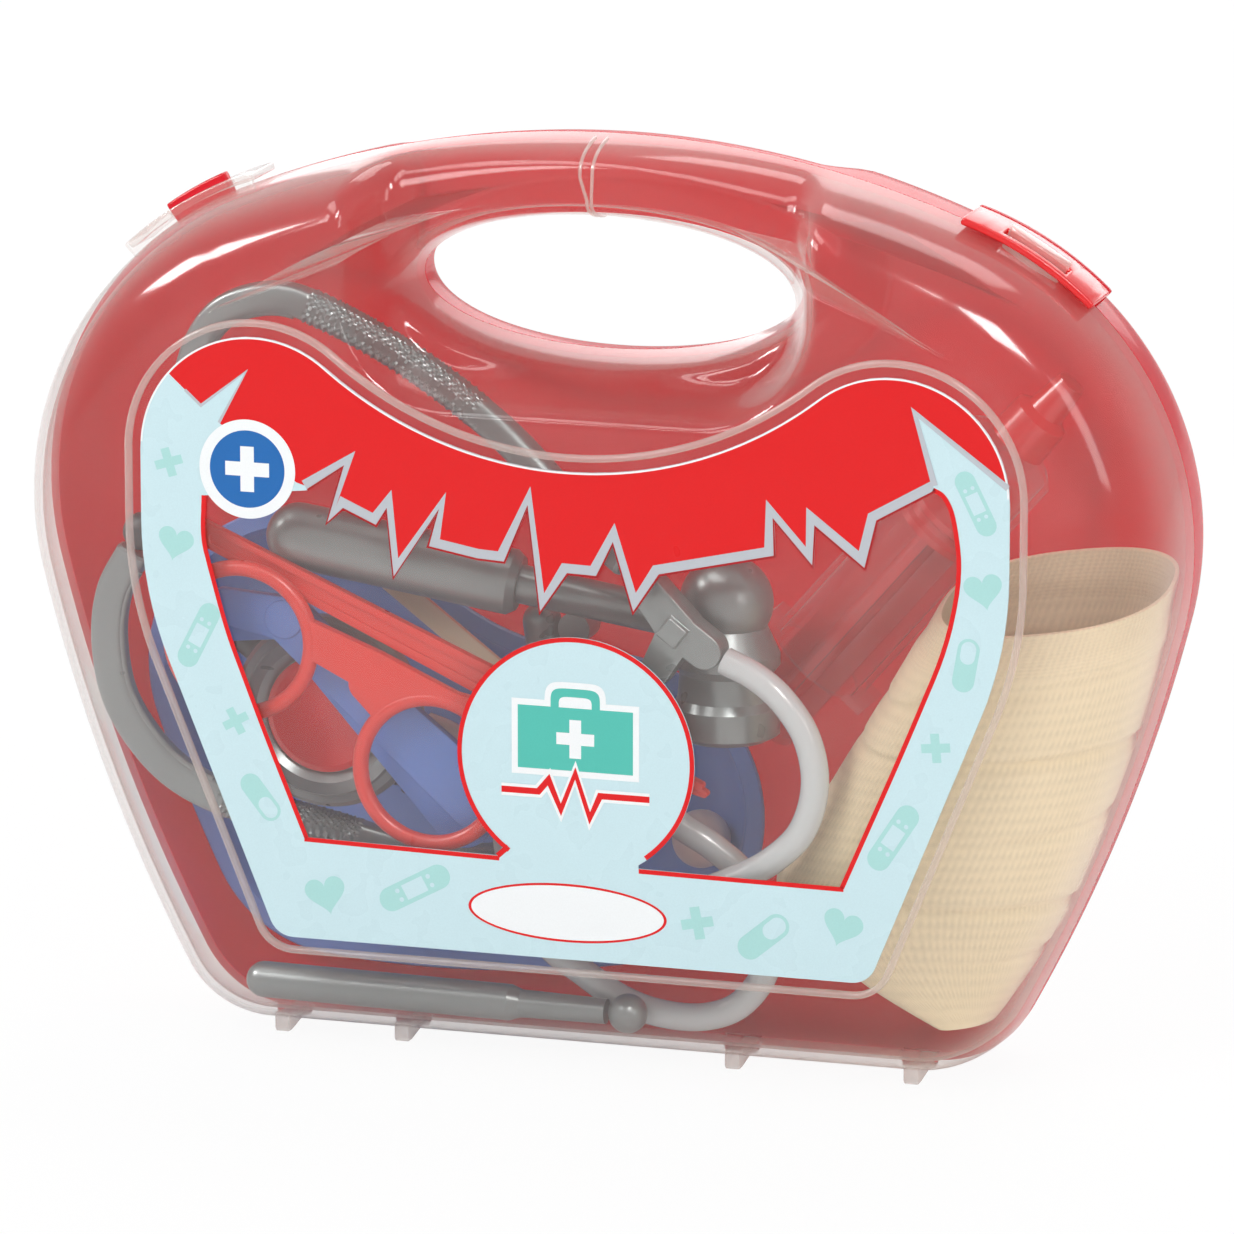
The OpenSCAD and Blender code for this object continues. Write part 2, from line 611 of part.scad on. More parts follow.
// ---------- small instruments ----------
module spatula() {
    color([0.88, 0.82, 0.7]) lift() bar(-6.6, -5.1, [-64, 116], [-13, 77.4], 2.6, 2.6);
}
module otoscope_body() {
    color([0.5, 0.52, 0.53]) lift() {
        ball([-17.4, 0, 99], 4.59);
        rod([-17.4, 0, 99], [-12, 0, 63], 4.6, 4.6);
    }
}
module otoscope_lamp() {
    color([0.6, 0.62, 0.63]) lift() slab(-4.6, 4) dot([-8.2, 98.6], 3.9);
}
therm_a = [-80.6, -19, 11.6];
therm_b = [9.6, -19, 10.6];
module thermometer_body() {
    len = norm(therm_b - therm_a);
    r = thermo_d / 2;
    color([0.42, 0.44, 0.45]) lift() {
        ball(therm_a, r - 0.02);
        along(therm_a, therm_b) rotate_extrude() polygon([[0, 0], [r, 0], [r, 0.68 * len],
            [3.3, 0.71 * len], [3, len - 5.2], [0, len - 5.2]]);
    }
}
module thermometer_tip() {
    color([0.42, 0.44, 0.45]) lift() ball(therm_b, 4.7);
}
module rubber_bulb() {
    color([0.85, 0.78, 0.74]) lift() ball([15.5, 20.8, 43.5], 7);
}

// ---------- kidney dish ----------
lobe_1 = [-81, 79];
lobe_2 = [-5, 51];
lobe_1r = 40;
lobe_2r = 38;
lobe_3 = [-73, 43];
lobe_3r = 33.5;
dish_side_c = meet(lobe_1, side_r - lobe_1r, lobe_3, side_r - lobe_3r, 1);
belly_r = 260;
belly_c = meet(lobe_3, belly_r - lobe_3r, lobe_2, belly_r - lobe_2r, 1);
function turn(a) = (a + 360) % 360;
waist_r = 60;
waist_c = meet(lobe_1, waist_r + lobe_1r, lobe_2, waist_r + lobe_2r, 1);
dish_line = concat(
    arc_stations(dish_side_c, side_r, turn(heading(dish_side_c, lobe_1)), turn(heading(dish_side_c, lobe_3)), 5),
    arc_stations(lobe_3, lobe_3r, turn(heading(dish_side_c, lobe_3)), turn(heading(belly_c, lobe_3)), 8),
    arc_stations(belly_c, belly_r, heading(belly_c, lobe_3), heading(belly_c, lobe_2), 6),
    arc_stations(lobe_2, lobe_2r, heading(belly_c, lobe_2), heading(lobe_2, waist_c), 14),
    [for (i = [0:7]) [waist_c.x, waist_c.y, -waist_r,
        mix(heading(waist_c, lobe_2) + 180, heading(waist_c, lobe_1) + 180, i / 8)]],
    arc_stations(lobe_1, lobe_1r, heading(lobe_1, waist_c), turn(heading(dish_side_c, lobe_1)), 14));
function dish_ring(d, y) = [for (s = reversed(dish_line)) let (p = at(s, d)) [p.x, y, p.y]];
dish_back = shell_d - wall - 0.3;
dish_front = dish_back - dish_d;
module kidney_dish() {
    m = len(dish_line);
    rings = [dish_ring(18, dish_back), dish_ring(13, dish_back - 1), dish_ring(8, dish_back - 5),
        dish_ring(4.4, dish_back - 11), dish_ring(3, dish_front + 1.4), dish_ring(0, dish_front + 1.4),
        dish_ring(0, dish_front), dish_ring(4.6, dish_front), dish_ring(6, dish_back - 11),
        dish_ring(9.6, dish_back - 6), dish_ring(14, dish_back - 2.6), dish_ring(19, dish_back - 1.6)];
    n = len(rings);
    color([0.3, 0.42, 0.66]) lift() polyhedron(
        points = flat_list(rings),
        faces = concat(band_faces(n, m, false),
            [[for (i = [m - 1:-1:0]) i]],
            [[for (i = [0:m - 1]) (n - 1) * m + i]]));
}

// ---------- bandage sleeve ----------
foot_top = foot_c.y + foot_r * sin(a_foot);
function wall_x(z) = z > widest_z ? corner_c.x + sqrt(pow(corner_r, 2) - pow(z - widest_z, 2))
    : z > foot_top ? side_c.x + sqrt(pow(side_r, 2) - pow(z - side_c.y, 2))
    : foot_c.x + sqrt(pow(foot_r, 2) - pow(z - foot_c.y, 2));
function sleeve_left(z) = z < 46 ? 43 + 0.032 * pow(46 - z, 2) : 43 + 0.58 * (z - 46);
function sleeve_right(z) = wall_x(z) - wall - 0.9 - 0.14 * max(0, 40 - z);
function sleeve_deep(z) = mix(7, 20.5, smooth((z - 2) / 60));
function sleeve_ring(k, t) = [for (i = [0:39])
    let (a = -9 * i, ca = cos(a), sa = sin(a),
         z0 = mix(11, 112, k), xl = sleeve_left(z0), xr = sleeve_right(z0),
         u = sign(ca) * pow(abs(ca), 2 / 2.4), v = sign(sa) * pow(abs(sa), 2 / 2.4),
         x = (xl + xr) / 2 + u * ((xr - xl) / 2 - t),
         y = -3 + 5 * u + v * (sleeve_deep(z0) - t),
         crease = t > 0 ? 0 : 0.5 * sin(2.2 * z0 + 3 * a) * (k < 0.93 ? 1 : 0))
    [x, y + crease * v, z0 + k * k * (4 + 0.3 * y + 0.06 * (x - 105))]];
module bandage_sleeve() {
    steps = 14;
    color([0.87, 0.82, 0.72]) lift() ring_loop(concat(
        [for (j = [0:steps]) sleeve_ring(j / steps, 0)],
        [for (j = [steps:-1:0]) sleeve_ring(j / steps, 1.6)]));
}

front_shell();
back_shell();
left_latch();
right_latch();
window_card();
scissor_loops();
scissor_bar();
hammer_handle();
hammer_head();
forceps_front();
forceps_rear();
chest_body();
chest_disc();
yoke();
hose();
upper_arm();
lower_arm();
upper_ear_tip();
lower_ear_tip();
syringe_barrel();
syringe_cap();
syringe_plunger();
torch_body();
torch_tip();
spatula();
otoscope_body();
otoscope_lamp();
thermometer_body();
thermometer_tip();
rubber_bulb();
kidney_dish();
bandage_sleeve();
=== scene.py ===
"""Toy doctor case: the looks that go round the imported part.

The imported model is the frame. Two fine half shells, the printed card, the hose, the headset,
the cloth sleeve and the play instruments are built round it, each by one operator.
Shapes are written in millimetres above the flat underside of the shells, as the part's own
values are, and metres() puts them in the frame.
"""
import math

import bmesh
import bpy
import numpy as np
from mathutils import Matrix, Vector


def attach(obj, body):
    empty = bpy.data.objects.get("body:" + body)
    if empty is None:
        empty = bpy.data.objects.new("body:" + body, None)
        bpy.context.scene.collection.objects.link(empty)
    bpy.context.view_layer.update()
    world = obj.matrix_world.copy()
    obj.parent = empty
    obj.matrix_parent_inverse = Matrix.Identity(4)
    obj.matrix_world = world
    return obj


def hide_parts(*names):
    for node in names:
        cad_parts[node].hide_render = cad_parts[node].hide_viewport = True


bl_info = {
    "name": "Toy doctor case",
    "version": (1, 0, 0),
    "blender": (4, 5, 0),
    "location": "3D View > Sidebar > Toy case",
    "description": "Builds the finish of a toy doctor case round its packed model",
    "category": "Add Mesh",
}

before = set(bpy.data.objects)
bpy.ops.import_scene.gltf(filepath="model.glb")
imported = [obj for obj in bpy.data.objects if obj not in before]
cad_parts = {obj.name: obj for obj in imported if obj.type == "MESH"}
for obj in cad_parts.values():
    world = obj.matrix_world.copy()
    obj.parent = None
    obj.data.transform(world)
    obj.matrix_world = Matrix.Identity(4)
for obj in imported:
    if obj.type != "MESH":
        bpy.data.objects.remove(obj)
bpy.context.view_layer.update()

MM = 0.001
AXIS_H = 2.0        # height of the hinge axis above the surface
CASE_W, CASE_H, SHELL_D, WALL = 280.0, 216.5, 33.0, 2.0
WIDEST_Z, CORNER_R, SIDE_R, FOOT_R, FLAT_HALF = 126.0, 78.0, 400.0, 26.0, 79.0
EDGE_ROUND, DRAFT = 22.0, 0.08
HOLE_W, HOLE_H, GRIP_T, GRIP_D, SHOULDER, LIP = 92.0, 32.0, 19.0, 17.0, 10.0, 6.0
PART_GAP, ROUND_N = 0.15, 2.6
PANEL_HALF, PANEL_Z, RIDGE_W, RIDGE_H = 109.0, 22.7, 1.6, 1.2
CARD_T, CARD_MARGIN, DISC_R, LOBE_Z = 0.5, 2.4, 28.8, 142.0
FACE_Y = -PART_GAP - SHELL_D
CARD_FRONT = FACE_Y - 0.1 - CARD_T
EYE_R, PIN_R, RIB_T, RIB_LEN = 1.9, 1.1, 3.6, 15.5
HINGE_X = (-77.5, -47.6, 34.0, 77.5)
EAR_STEP = RIB_T + 0.6
HOLE_A, HOLE_B = HOLE_W / 2, HOLE_H / 2
HOLE_Z = CASE_H - GRIP_T - HOLE_B
CORNER_C, FOOT_C = (CASE_W / 2 - CORNER_R, WIDEST_Z), (FLAT_HALF, FOOT_R)
INK = 0.01          # thickness of one printed layer


# ---------- shader maths ----------
class Wire:
    """One output socket. Sums on it add Math nodes to its tree."""

    def __init__(self, paint, socket):
        self.paint, self.socket = paint, socket

    def _with(self, operation, a, b):
        return self.paint.node("Math", {"operation": operation}, {0: a, 1: b})

    def __add__(self, other):
        return self._with("ADD", self, other)

    def __sub__(self, other):
        return self._with("SUBTRACT", self, other)

    def __rsub__(self, other):
        return self._with("SUBTRACT", other, self)

    def __mul__(self, other):
        return self._with("MULTIPLY", self, other)

    def __pow__(self, other):
        return self._with("POWER", self, other)

    __radd__, __rmul__ = __add__, __mul__


class Paint:
    """A material and its node tree."""
    OBJECT_PLACE, SHADOW_RAY, FACING, BACKFACE, MIXED_COLOUR = 3, 1, 1, 6, 2     # places of output sockets

    def __init__(self, name):
        self.material = bpy.data.materials.new(name)
        self.material.use_nodes = True
        self.tree = self.material.node_tree
        self.tree.nodes.clear()

    def node(self, kind, settings=None, sockets=None, out=0):
        """Adds a node: its type, its settings, and values or wires for its sockets."""
        made = self.tree.nodes.new("ShaderNode" + kind)
        for key, value in (settings or {}).items():
            if key == "stops":
                ramp = made.color_ramp
                while len(ramp.elements) < len(value):
                    ramp.elements.new(0.5)
                for element, (place, tone) in zip(ramp.elements, value):
                    element.position, element.color = place, (tone, tone, tone, 1)
            else:
                setattr(made, key, value)
        for key, value in (sockets or {}).items():
            socket = made.inputs[key]
            if isinstance(value, Wire):
                self.tree.links.new(value.socket, socket)
            elif hasattr(value, "__len__") and len(value) == 3 and len(socket.default_value) == 4:
                socket.default_value = (*value, 1)
            else:
                socket.default_value = value
        return Wire(self, made.outputs[out])

    def noise(self, scale, detail):
        """Noise on object coordinates, in metres."""
        place = self.node("TexCoord", out=self.OBJECT_PLACE)
        return self.node("TexNoise", None, {"Vector": place, "Scale": scale, "Detail": detail})

    def woven(self):
        """The piece's own UV map."""
        return self.node("UVMap", {"uv_map": "weave"})

    def mix(self, share, first, second):
        """Two finishes, with share of the second."""
        return self.node("MixShader", None, {0: share, 1: first, 2: second})

    def ramp(self, wire, *stops):
        """A grey between stops of (place, tone)."""
        return self.node("ValToRGB", {"stops": stops}, {0: wire})

    def tone(self, factor, a, b):
        """A colour between a and b."""
        return self.node("Mix", {"data_type": "RGBA"}, {0: factor, 6: a, 7: b}, out=self.MIXED_COLOUR)

    def bump(self, height, strength, distance):
        return self.node("Bump", None, {"Height": height, "Strength": strength, "Distance": distance})

    def solid(self, sockets):
        return self.node("BsdfPrincipled", None, sockets)

    def done(self, surface):
        end = self.tree.nodes.new("ShaderNodeOutputMaterial")
        self.tree.links.new(surface.socket, end.inputs["Surface"])
        return self.material


def shade(r, g, b):
    """A colour written as 0 to 255 on screen, as the light values that the shader takes."""
    v = np.array([r, g, b], float) / 255
    return tuple(float(x) for x in np.where(v <= 0.04045, v / 12.92, ((v + 0.055) / 1.055) ** 2.4))


def scaled(colour, share):
    """A colour times a share, held to white."""
    return tuple(min(1, c * share) for c in colour)


def moulded(name, colour, rough, metal=0.0, grain=0.12, coat=0.0, sub=0.0, glow=0.0):
    """Moulded plastic: the colour drifts a little, and a fine skin breaks up the gloss. glow is the
    share of light that a thin wall lets through from behind."""
    paint, spread = Paint(name), 0.06
    light = scaled(colour, 1 + spread)
    skin = paint.noise(1100, 2)
    plastic = paint.solid({
        "Base Color": paint.tone(paint.noise(28, 3), scaled(colour, 1 - spread), light),
        "Roughness": rough + (paint.noise(160, 2) - 0.5) * 0.12,
        "Metallic": metal,
        "Coat Weight": coat,
        "Subsurface Weight": sub,
        "Subsurface Radius": (0.004, 0.001, 0.001),
        "Subsurface Scale": 0.5,
        "Normal": paint.bump(skin, grain, 0.0001)})
    if not glow:
        return paint.done(plastic)
    return paint.done(paint.mix(glow, plastic, paint.node("BsdfTranslucent", None, {"Color": light})))


def see_through(name, body, haze, edge, tint, rough=0.12):
    """Clear moulded plastic: mostly see-through, milky where it is seen edge on, with a gloss on top.
    Milky plastic passes light on rather than stopping it, so rays towards lamps meet little of it."""
    paint = Paint(name)
    facing = paint.node("LayerWeight", None, {"Blend": 0.5}, out=paint.FACING)
    passes = 1 - 0.85 * paint.node("LightPath", out=paint.SHADOW_RAY)
    milk = (haze + (edge - haze) * facing ** 3.2 + (paint.noise(60, 3) - 0.5) * 0.03) * passes
    clear = paint.node("BsdfTransparent", None, {"Color": tint})
    lit = paint.solid({"Base Color": body, "Roughness": 0.5, "Specular IOR Level": 0.1})
    through = paint.node("BsdfTranslucent", None, {"Color": body})
    inner = paint.mix(milk, clear, paint.mix(0.45, lit, through))
    waves = paint.bump(paint.noise(14, 2), 0.06, 0.002)
    mirror = paint.solid({"Base Color": (1, 1, 1), "Metallic": 1.0, "Roughness": rough, "Normal": waves})
    front = 1 - paint.node("NewGeometry", out=paint.BACKFACE)
    shines = paint.node("Fresnel", None, {"IOR": 1.48, "Normal": waves}) * 0.9 * front
    return paint.done(paint.mix(shines * passes, inner, mirror))


def printed(name, colour, rough=0.3):
    """Ink on a card: a fine screen grain in the colour and a low gloss."""
    paint = Paint(name)
    return paint.done(paint.solid({
        "Base Color": paint.tone(paint.noise(2600, 1), scaled(colour, 0.955), scaled(colour, 1.03)),
        "Roughness": rough + (paint.noise(90, 2) - 0.5) * 0.1,
        "Specular IOR Level": 0.3,
        "Normal": paint.bump(paint.noise(22, 2), 0.05, 0.0006)}))


def stretch_cloth(name, colour):
    """Ribbed stretch cloth on the piece's own UV map: U goes round and V goes up."""
    paint = Paint(name)
    cut = paint.node("SeparateXYZ", None, {0: paint.woven()})
    across = Wire(paint, cut.socket.node.outputs[0])
    up = Wire(paint, cut.socket.node.outputs[1])

    def wave(wire, count):
        return paint.node("Math", {"operation": "SINE"}, {0: wire * (count * 2 * math.pi)}) * 0.5 + 0.5

    ribs = wave(across, 130)
    rows = wave(up + ribs * 0.002, 84)
    knit = ribs * 0.5 + rows * 0.5
    stain = paint.noise(36, 4)
    fuzz = paint.noise(900, 2)
    cover = paint.ramp(knit * 0.3 + stain * 0.4 + fuzz * 0.3, (0.2, 0.0), (0.62, 1.0))
    return paint.done(paint.solid({
        "Base Color": paint.tone(cover, scaled(colour, 0.86), scaled(colour, 1.06)),
        "Roughness": 0.82 + stain * 0.12,
        "Sheen Weight": 0.25,
        "Specular IOR Level": 0.2,
        "Normal": paint.bump(knit * 0.6 + fuzz, 0.35, 0.0003)}))


def rubbery(name, colour):
    """Glossy vinyl tube with faint extrusion streaks along the piece's own UV map."""
    paint = Paint(name)
    stretched = paint.node("Mapping", None, {"Vector": paint.woven(), "Scale": (14, 0.6, 1)})
    streak = paint.node("TexNoise", None, {"Vector": stretched, "Scale": 6.0, "Detail": 3.0})
    return paint.done(paint.solid({
        "Base Color": paint.tone(streak, scaled(colour, 0.93), colour),
        "Roughness": 0.24 + (streak - 0.5) * 0.14,
        "Subsurface Weight": 0.15,
        "Subsurface Radius": (0.003, 0.003, 0.0028),
        "Coat Weight": 0.3,
        "Normal": paint.bump(streak, 0.08, 0.0002)}))


# ---------- surfaces ----------
def metres(points):
    """Millimetres above the shells' underside to metres in the frame."""
    return (np.asarray(points, float) + (0, 0, AXIS_H)) * MM


def signed_volume(points, quads):
    """Six times the volume inside the quads, above zero where they point outwards: the sum of the
    corners' triple products."""
    a, b, c, d = (points[quads[:, k]] for k in range(4))
    return (a * (np.cross(b, c) + np.cross(c, d))).sum()


def to_object(name, points, quads, caps, material, uv=None, sharp=32):
    """Puts points and faces in a mesh object, turned outwards where they close a solid."""
    mesh = bpy.data.meshes.new(name)
    mesh.from_pydata(points.tolist(), [], quads.tolist() + [list(c) for c in caps])
    if uv is not None:
        layer = mesh.uv_layers.new(name="weave")
        corner = np.zeros(len(mesh.loops), int)
        mesh.loops.foreach_get("vertex_index", corner)
        layer.data.foreach_set("uv", uv[corner].astype(np.float32).ravel())
    mesh.materials.append(material)
    mesh.validate()
    mesh.shade_smooth()
    mesh.set_sharp_from_angle(angle=math.radians(sharp))
    made = bpy.data.objects.new(name, mesh)
    bpy.context.scene.collection.objects.link(made)
    return made


def surface(name, grid, material, wrap_u=False, wrap_v=False, caps=False, flat=False, sharp=32):
    """A surface on a grid of points (u, v). wrap joins the last row or column to the first, caps
    closes both ends of u with one face each, and flat marks a sheet that closes nothing."""
    grid = np.asarray(grid, float)
    m, n = grid.shape[:2]
    index = np.arange(m * n).reshape(m, n)
    rows = np.append(index, index[:1], 0) if wrap_u else index
    rows = np.append(rows, rows[:, :1], 1) if wrap_v else rows
    quads = np.stack([rows[:-1, :-1], rows[1:, :-1], rows[1:, 1:], rows[:-1, 1:]], -1).reshape(-1, 4)
    ends = [index[0], index[-1][::-1]] if caps else []
    points = metres(grid.reshape(-1, 3))
    if not flat:
        fans = [np.column_stack([np.full(len(e) - 2, e[0]), e[1:-1], e[2:], e[2:]]) for e in ends]
        if signed_volume(points, np.vstack([quads, *fans])) < 0:
            quads, ends = quads[:, ::-1], [e[::-1] for e in ends]
    u, v = np.meshgrid(np.linspace(0, 1, m), np.linspace(0, 1, n), indexing="ij")
    return to_object(name, points, quads, ends, material, np.stack([v, u], -1).reshape(-1, 2), sharp)


def joined(name, parts):
    """Several made objects as one piece."""
    for other in bpy.context.selected_objects:
        other.select_set(False)
    for part in parts:
        part.select_set(True)
    bpy.context.view_layer.objects.active = parts[0]
    if len(parts) > 1:
        bpy.ops.object.join()
    parts[0].name = parts[0].data.name = name
    return parts[0]


def softened(node, material, radius, name):
    """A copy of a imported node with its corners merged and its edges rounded, which stands for it."""
    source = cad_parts[node]
    mesh = source.data.copy()
    shape = bmesh.new()
    shape.from_mesh(mesh)
    bmesh.ops.remove_doubles(shape, verts=shape.verts, dist=2e-6)
    bmesh.ops.dissolve_limit(shape, angle_limit=math.radians(1), verts=shape.verts, edges=shape.edges)
    shape.to_mesh(mesh)
    shape.free()
    mesh.materials.clear()
    mesh.materials.append(material)
    mesh.shade_smooth()
    made = bpy.data.objects.new(name, mesh)
    bpy.context.scene.collection.objects.link(made)
    bevel = made.modifiers.new("round", "BEVEL")
    bevel.width, bevel.segments = radius * MM, 3
    bevel.limit_method, bevel.angle_limit = "ANGLE", math.radians(35)
    bevel.use_clamp_overlap = True
    bevel.harden_normals = True
    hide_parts(node)
    return made


def painted(nodes, material):
    """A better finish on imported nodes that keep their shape."""
    for node in nodes:
        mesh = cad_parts[node].data
        mesh.materials.clear()
        mesh.materials.append(material)


def rides(made, body):
    """States which body a piece moves with."""
    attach(made, body)


def arc(centre, radius, a0, a1, n):
    """n stations (x, z, radius, direction in degrees) on an arc, without its last one."""
    a = a0 + (a1 - a0) * np.arange(n) / n
    return np.column_stack([np.full(n, centre[0]), np.full(n, centre[1]), np.full(n, radius), a])


def at(stations, inset):
    """The points of a line of stations, moved inwards by inset."""
    a = np.radians(stations[:, 3])
    reach = stations[:, 2] - inset
    return np.column_stack([stations[:, 0] + reach * np.cos(a), stations[:, 1] + reach * np.sin(a)])


def at_depth(p, y):
    """Points (x, z) as points (x, y, z)."""
    return np.column_stack([p[:, 0], np.full(len(p), y), p[:, 1]])


def meet(a, ra, b, rb, side):
    """One of the two points where the circles (a, ra) and (b, rb) meet."""
    a, b = np.array(a, float), np.array(b, float)
    d = np.hypot(*(b - a))
    u = (b - a) / d
    k = (d * d + ra * ra - rb * rb) / (2 * d)
    return a + k * u + side * math.sqrt(ra * ra - k * k) * np.array([-u[1], u[0]])


def heading(a, b):
    """Direction from a to b in degrees."""
    return math.degrees(math.atan2(b[1] - a[1], b[0] - a[0]))


def mirrored(stations):
    """The stations but the first, mirrored in X and in reverse order."""
    back = stations[:0:-1].copy()
    back[:, 0] *= -1
    back[:, 3] = 180 - back[:, 3]
    return back


def smooth(t):
    """0 below 0, 1 above 1, and 3t^2 - 2t^3 between."""
    s = np.clip(t, 0, 1)
    return s * s * (3 - 2 * s)


def wave_power(t, power):
    """cos t and sin t raised to a power with their signs kept: the corners of a power-curve oval."""
    return tuple(np.sign(v) * np.abs(v) ** power for v in (np.cos(t), np.sin(t)))


def case_side():
    """Centre of the long arc between the foot and the upper corner."""
    return meet(CORNER_C, SIDE_R - CORNER_R, FOOT_C, SIDE_R - FOOT_R, -1)


def case_rim(k):
    """Stations round the outline of the shells, k times as many as the part has."""
    corner, foot, side = CORNER_C, FOOT_C, case_side()
    drop = CASE_H - WIDEST_Z
    crown_r = (corner[0] ** 2 + drop ** 2 - CORNER_R ** 2) / (2 * (drop - CORNER_R))
    crown = (0, CASE_H - crown_r)
    a_foot, a_side, a_crown = heading(side, foot), heading(side, corner), heading(crown, corner)
    n = 5 * k
    flat = np.column_stack([FLAT_HALF * np.arange(n) / n, np.full(n, FOOT_R), np.full(n, FOOT_R),
                            np.full(n, -90.0)])
    half = np.vstack([flat, arc(foot, FOOT_R, -90, a_foot, n), arc(side, SIDE_R, a_foot, a_side, 6 * k),
                      arc(corner, CORNER_R, a_side, a_crown, 12 * k),
                      arc(crown, crown_r, a_crown, 90, 7 * k)])
    return np.vstack([half, [[*crown, crown_r, 90.0]], mirrored(half)])


def hole_line(points, e):
    """The point on the hand hole's edge that faces each outline point, e outside the edge."""
    reach = np.where(points[:, 1] > HOLE_Z, CASE_H - HOLE_Z, HOLE_Z)
    t = np.arctan2((points[:, 1] - HOLE_Z) / reach, points[:, 0] / (CASE_W / 2))
    out = np.column_stack([np.cos(t) / HOLE_A, np.sin(t) / HOLE_B])
    out /= np.hypot(out[:, 0], out[:, 1])[:, None]
    e = np.broadcast_to(e, len(t))
    return np.column_stack([HOLE_A * np.cos(t), HOLE_Z + HOLE_B * np.sin(t)]) + e[:, None] * out


def face_depth(p, back):
    """Depth of the face: shallow over the grip, full over the body."""
    off = np.hypot(np.maximum(np.abs(p[:, 0]) - (HOLE_A - HOLE_B), 0), np.maximum(HOLE_Z - p[:, 1], 0))
    return GRIP_D + (SHELL_D - GRIP_D) * smooth((off - back - HOLE_B - LIP / 3) / SHOULDER)


def shell_skin(rim, t, edge_steps=16, flat_steps=14):
    """Rings of one skin of a half shell, inset by t: up the hole's wall, over the face and down the
    outer wall. The wall follows a rounded power curve from the parting plane to the face."""
    outline = at(rim, 0)
    span = np.hypot(*(outline - hole_line(outline, 0)).T)

    def edge(k, outer):
        v = max(0, math.sin(math.pi / 2 * k)) ** (2 / ROUND_N)
        w = np.minimum(EDGE_ROUND if outer else LIP, 0.4 * span)
        lean = DRAFT * GRIP_D * v + ((w - t) - DRAFT * GRIP_D) * (
            1 - max(0, math.cos(math.pi / 2 * k)) ** (2 / ROUND_N))
        if outer:
            a = np.radians(rim[:, 3])
            p = outline - (t + lean)[:, None] * np.column_stack([np.cos(a), np.sin(a)])
        else:
            p = hole_line(outline, t + lean)
        return np.column_stack([p[:, 0], -PART_GAP - (face_depth(p, 0.6 * t) - t) * v, p[:, 1]])

    def flat(i):
        q0 = hole_line(outline, np.minimum(LIP, 0.4 * span))
        a = np.radians(rim[:, 3])
        q1 = outline - np.minimum(EDGE_ROUND, 0.4 * span)[:, None] * np.column_stack([np.cos(a), np.sin(a)])
        run = np.hypot(*(q1 - q0).T)
        step = np.minimum(i / flat_steps * 1.2 * SHOULDER / run, i / (flat_steps + 1))[:, None]
        p = q0 + (q1 - q0) * step
        return np.column_stack([p[:, 0], -PART_GAP - face_depth(p, 0.6 * t) + t, p[:, 1]])

    share = np.arange(edge_steps + 1) / edge_steps
    return np.array([edge(k, False) for k in share] + [flat(i) for i in range(1, flat_steps + 1)]
                    + [edge(k, True) for k in share[::-1]])


def panel_line():
    """Stations round the raised panel: two lobes at the top, a dip between them, and a flat base."""
    lobe_r, flank_r, flank_a, dip_z, base_r = 32.0, 93.0, 22.0, 147.0, 10.0
    lobe = (PANEL_HALF - lobe_r, LOBE_Z)
    flank = (PANEL_HALF - flank_r, 125.0)
    dip_r = (lobe[0] ** 2 + (dip_z - lobe[1]) ** 2 - lobe_r ** 2) / (2 * (lobe_r - (dip_z - lobe[1])))
    dip = (0.0, dip_z + dip_r)
    dip_a = heading(dip, lobe)
    t = math.radians(flank_a)
    end = (flank[0] + flank_r * math.cos(t), flank[1] - flank_r * math.sin(t))
    base = (end[0] - (end[1] - PANEL_Z - base_r) * math.tan(t) - base_r / math.cos(t), PANEL_Z + base_r)
    bottom = np.array([(base[0] * i / 24, base[1], base_r, -90.0) for i in range(1, 24)])
    side_from, side_to = np.array([*base, base_r, -flank_a]), np.array([*flank, flank_r, -flank_a])
    side = side_from + (side_to - side_from) * (np.arange(16) / 16)[:, None]
    whole = np.vstack([[[0, PANEL_Z + base_r, base_r, -90.0]], bottom,
                       arc(base, base_r, -90, -flank_a, 10), side, arc(flank, flank_r, -flank_a, 0, 16),
                       arc(lobe, lobe_r, 0, dip_a + 180, 40), arc(dip, -dip_r, dip_a + 180, 90, 40)])
    return np.vstack([whole, [[*dip, -dip_r, 90.0]], mirrored(whole)])


def beside(points, d, closed=False):
    """A line of points moved sideways by d, with its sharp corners held to twice d."""
    p = np.asarray(points, float)
    step = np.roll(p, -1, 0) - p
    step /= np.maximum(np.hypot(step[:, 0], step[:, 1]), 1e-9)[:, None]
    after, before = step.copy(), np.roll(step, 1, 0)
    if not closed:
        after[-1], before[0] = step[-2], step[0]
    mid = after + before
    mid /= np.hypot(mid[:, 0], mid[:, 1])[:, None]
    reach = d / np.maximum(0.5, (mid * after).sum(1))
    return p + reach[:, None] * np.column_stack([-mid[:, 1], mid[:, 0]])


def rounded_line(points, radius, steps=6):
    """A line of points whose corners are turned on short parabolas that start radius away."""
    p = np.asarray(points, float)

    def pull(target):
        away = target - p
        size = np.maximum(np.hypot(away[:, 0], away[:, 1]), 1e-9)
        return p + away * (np.minimum(radius, 0.45 * size) / size)[:, None]

    a, b = pull(np.roll(p, 1, 0)), pull(np.roll(p, -1, 0))
    t = np.linspace(0, 1, steps)[None, :, None]
    out = (1 - t) ** 2 * a[:, None] + 2 * t * (1 - t) * p[:, None] + t ** 2 * b[:, None]
    return np.vstack([p[:1], out[1:-1].reshape(-1, 2), p[-1:]])


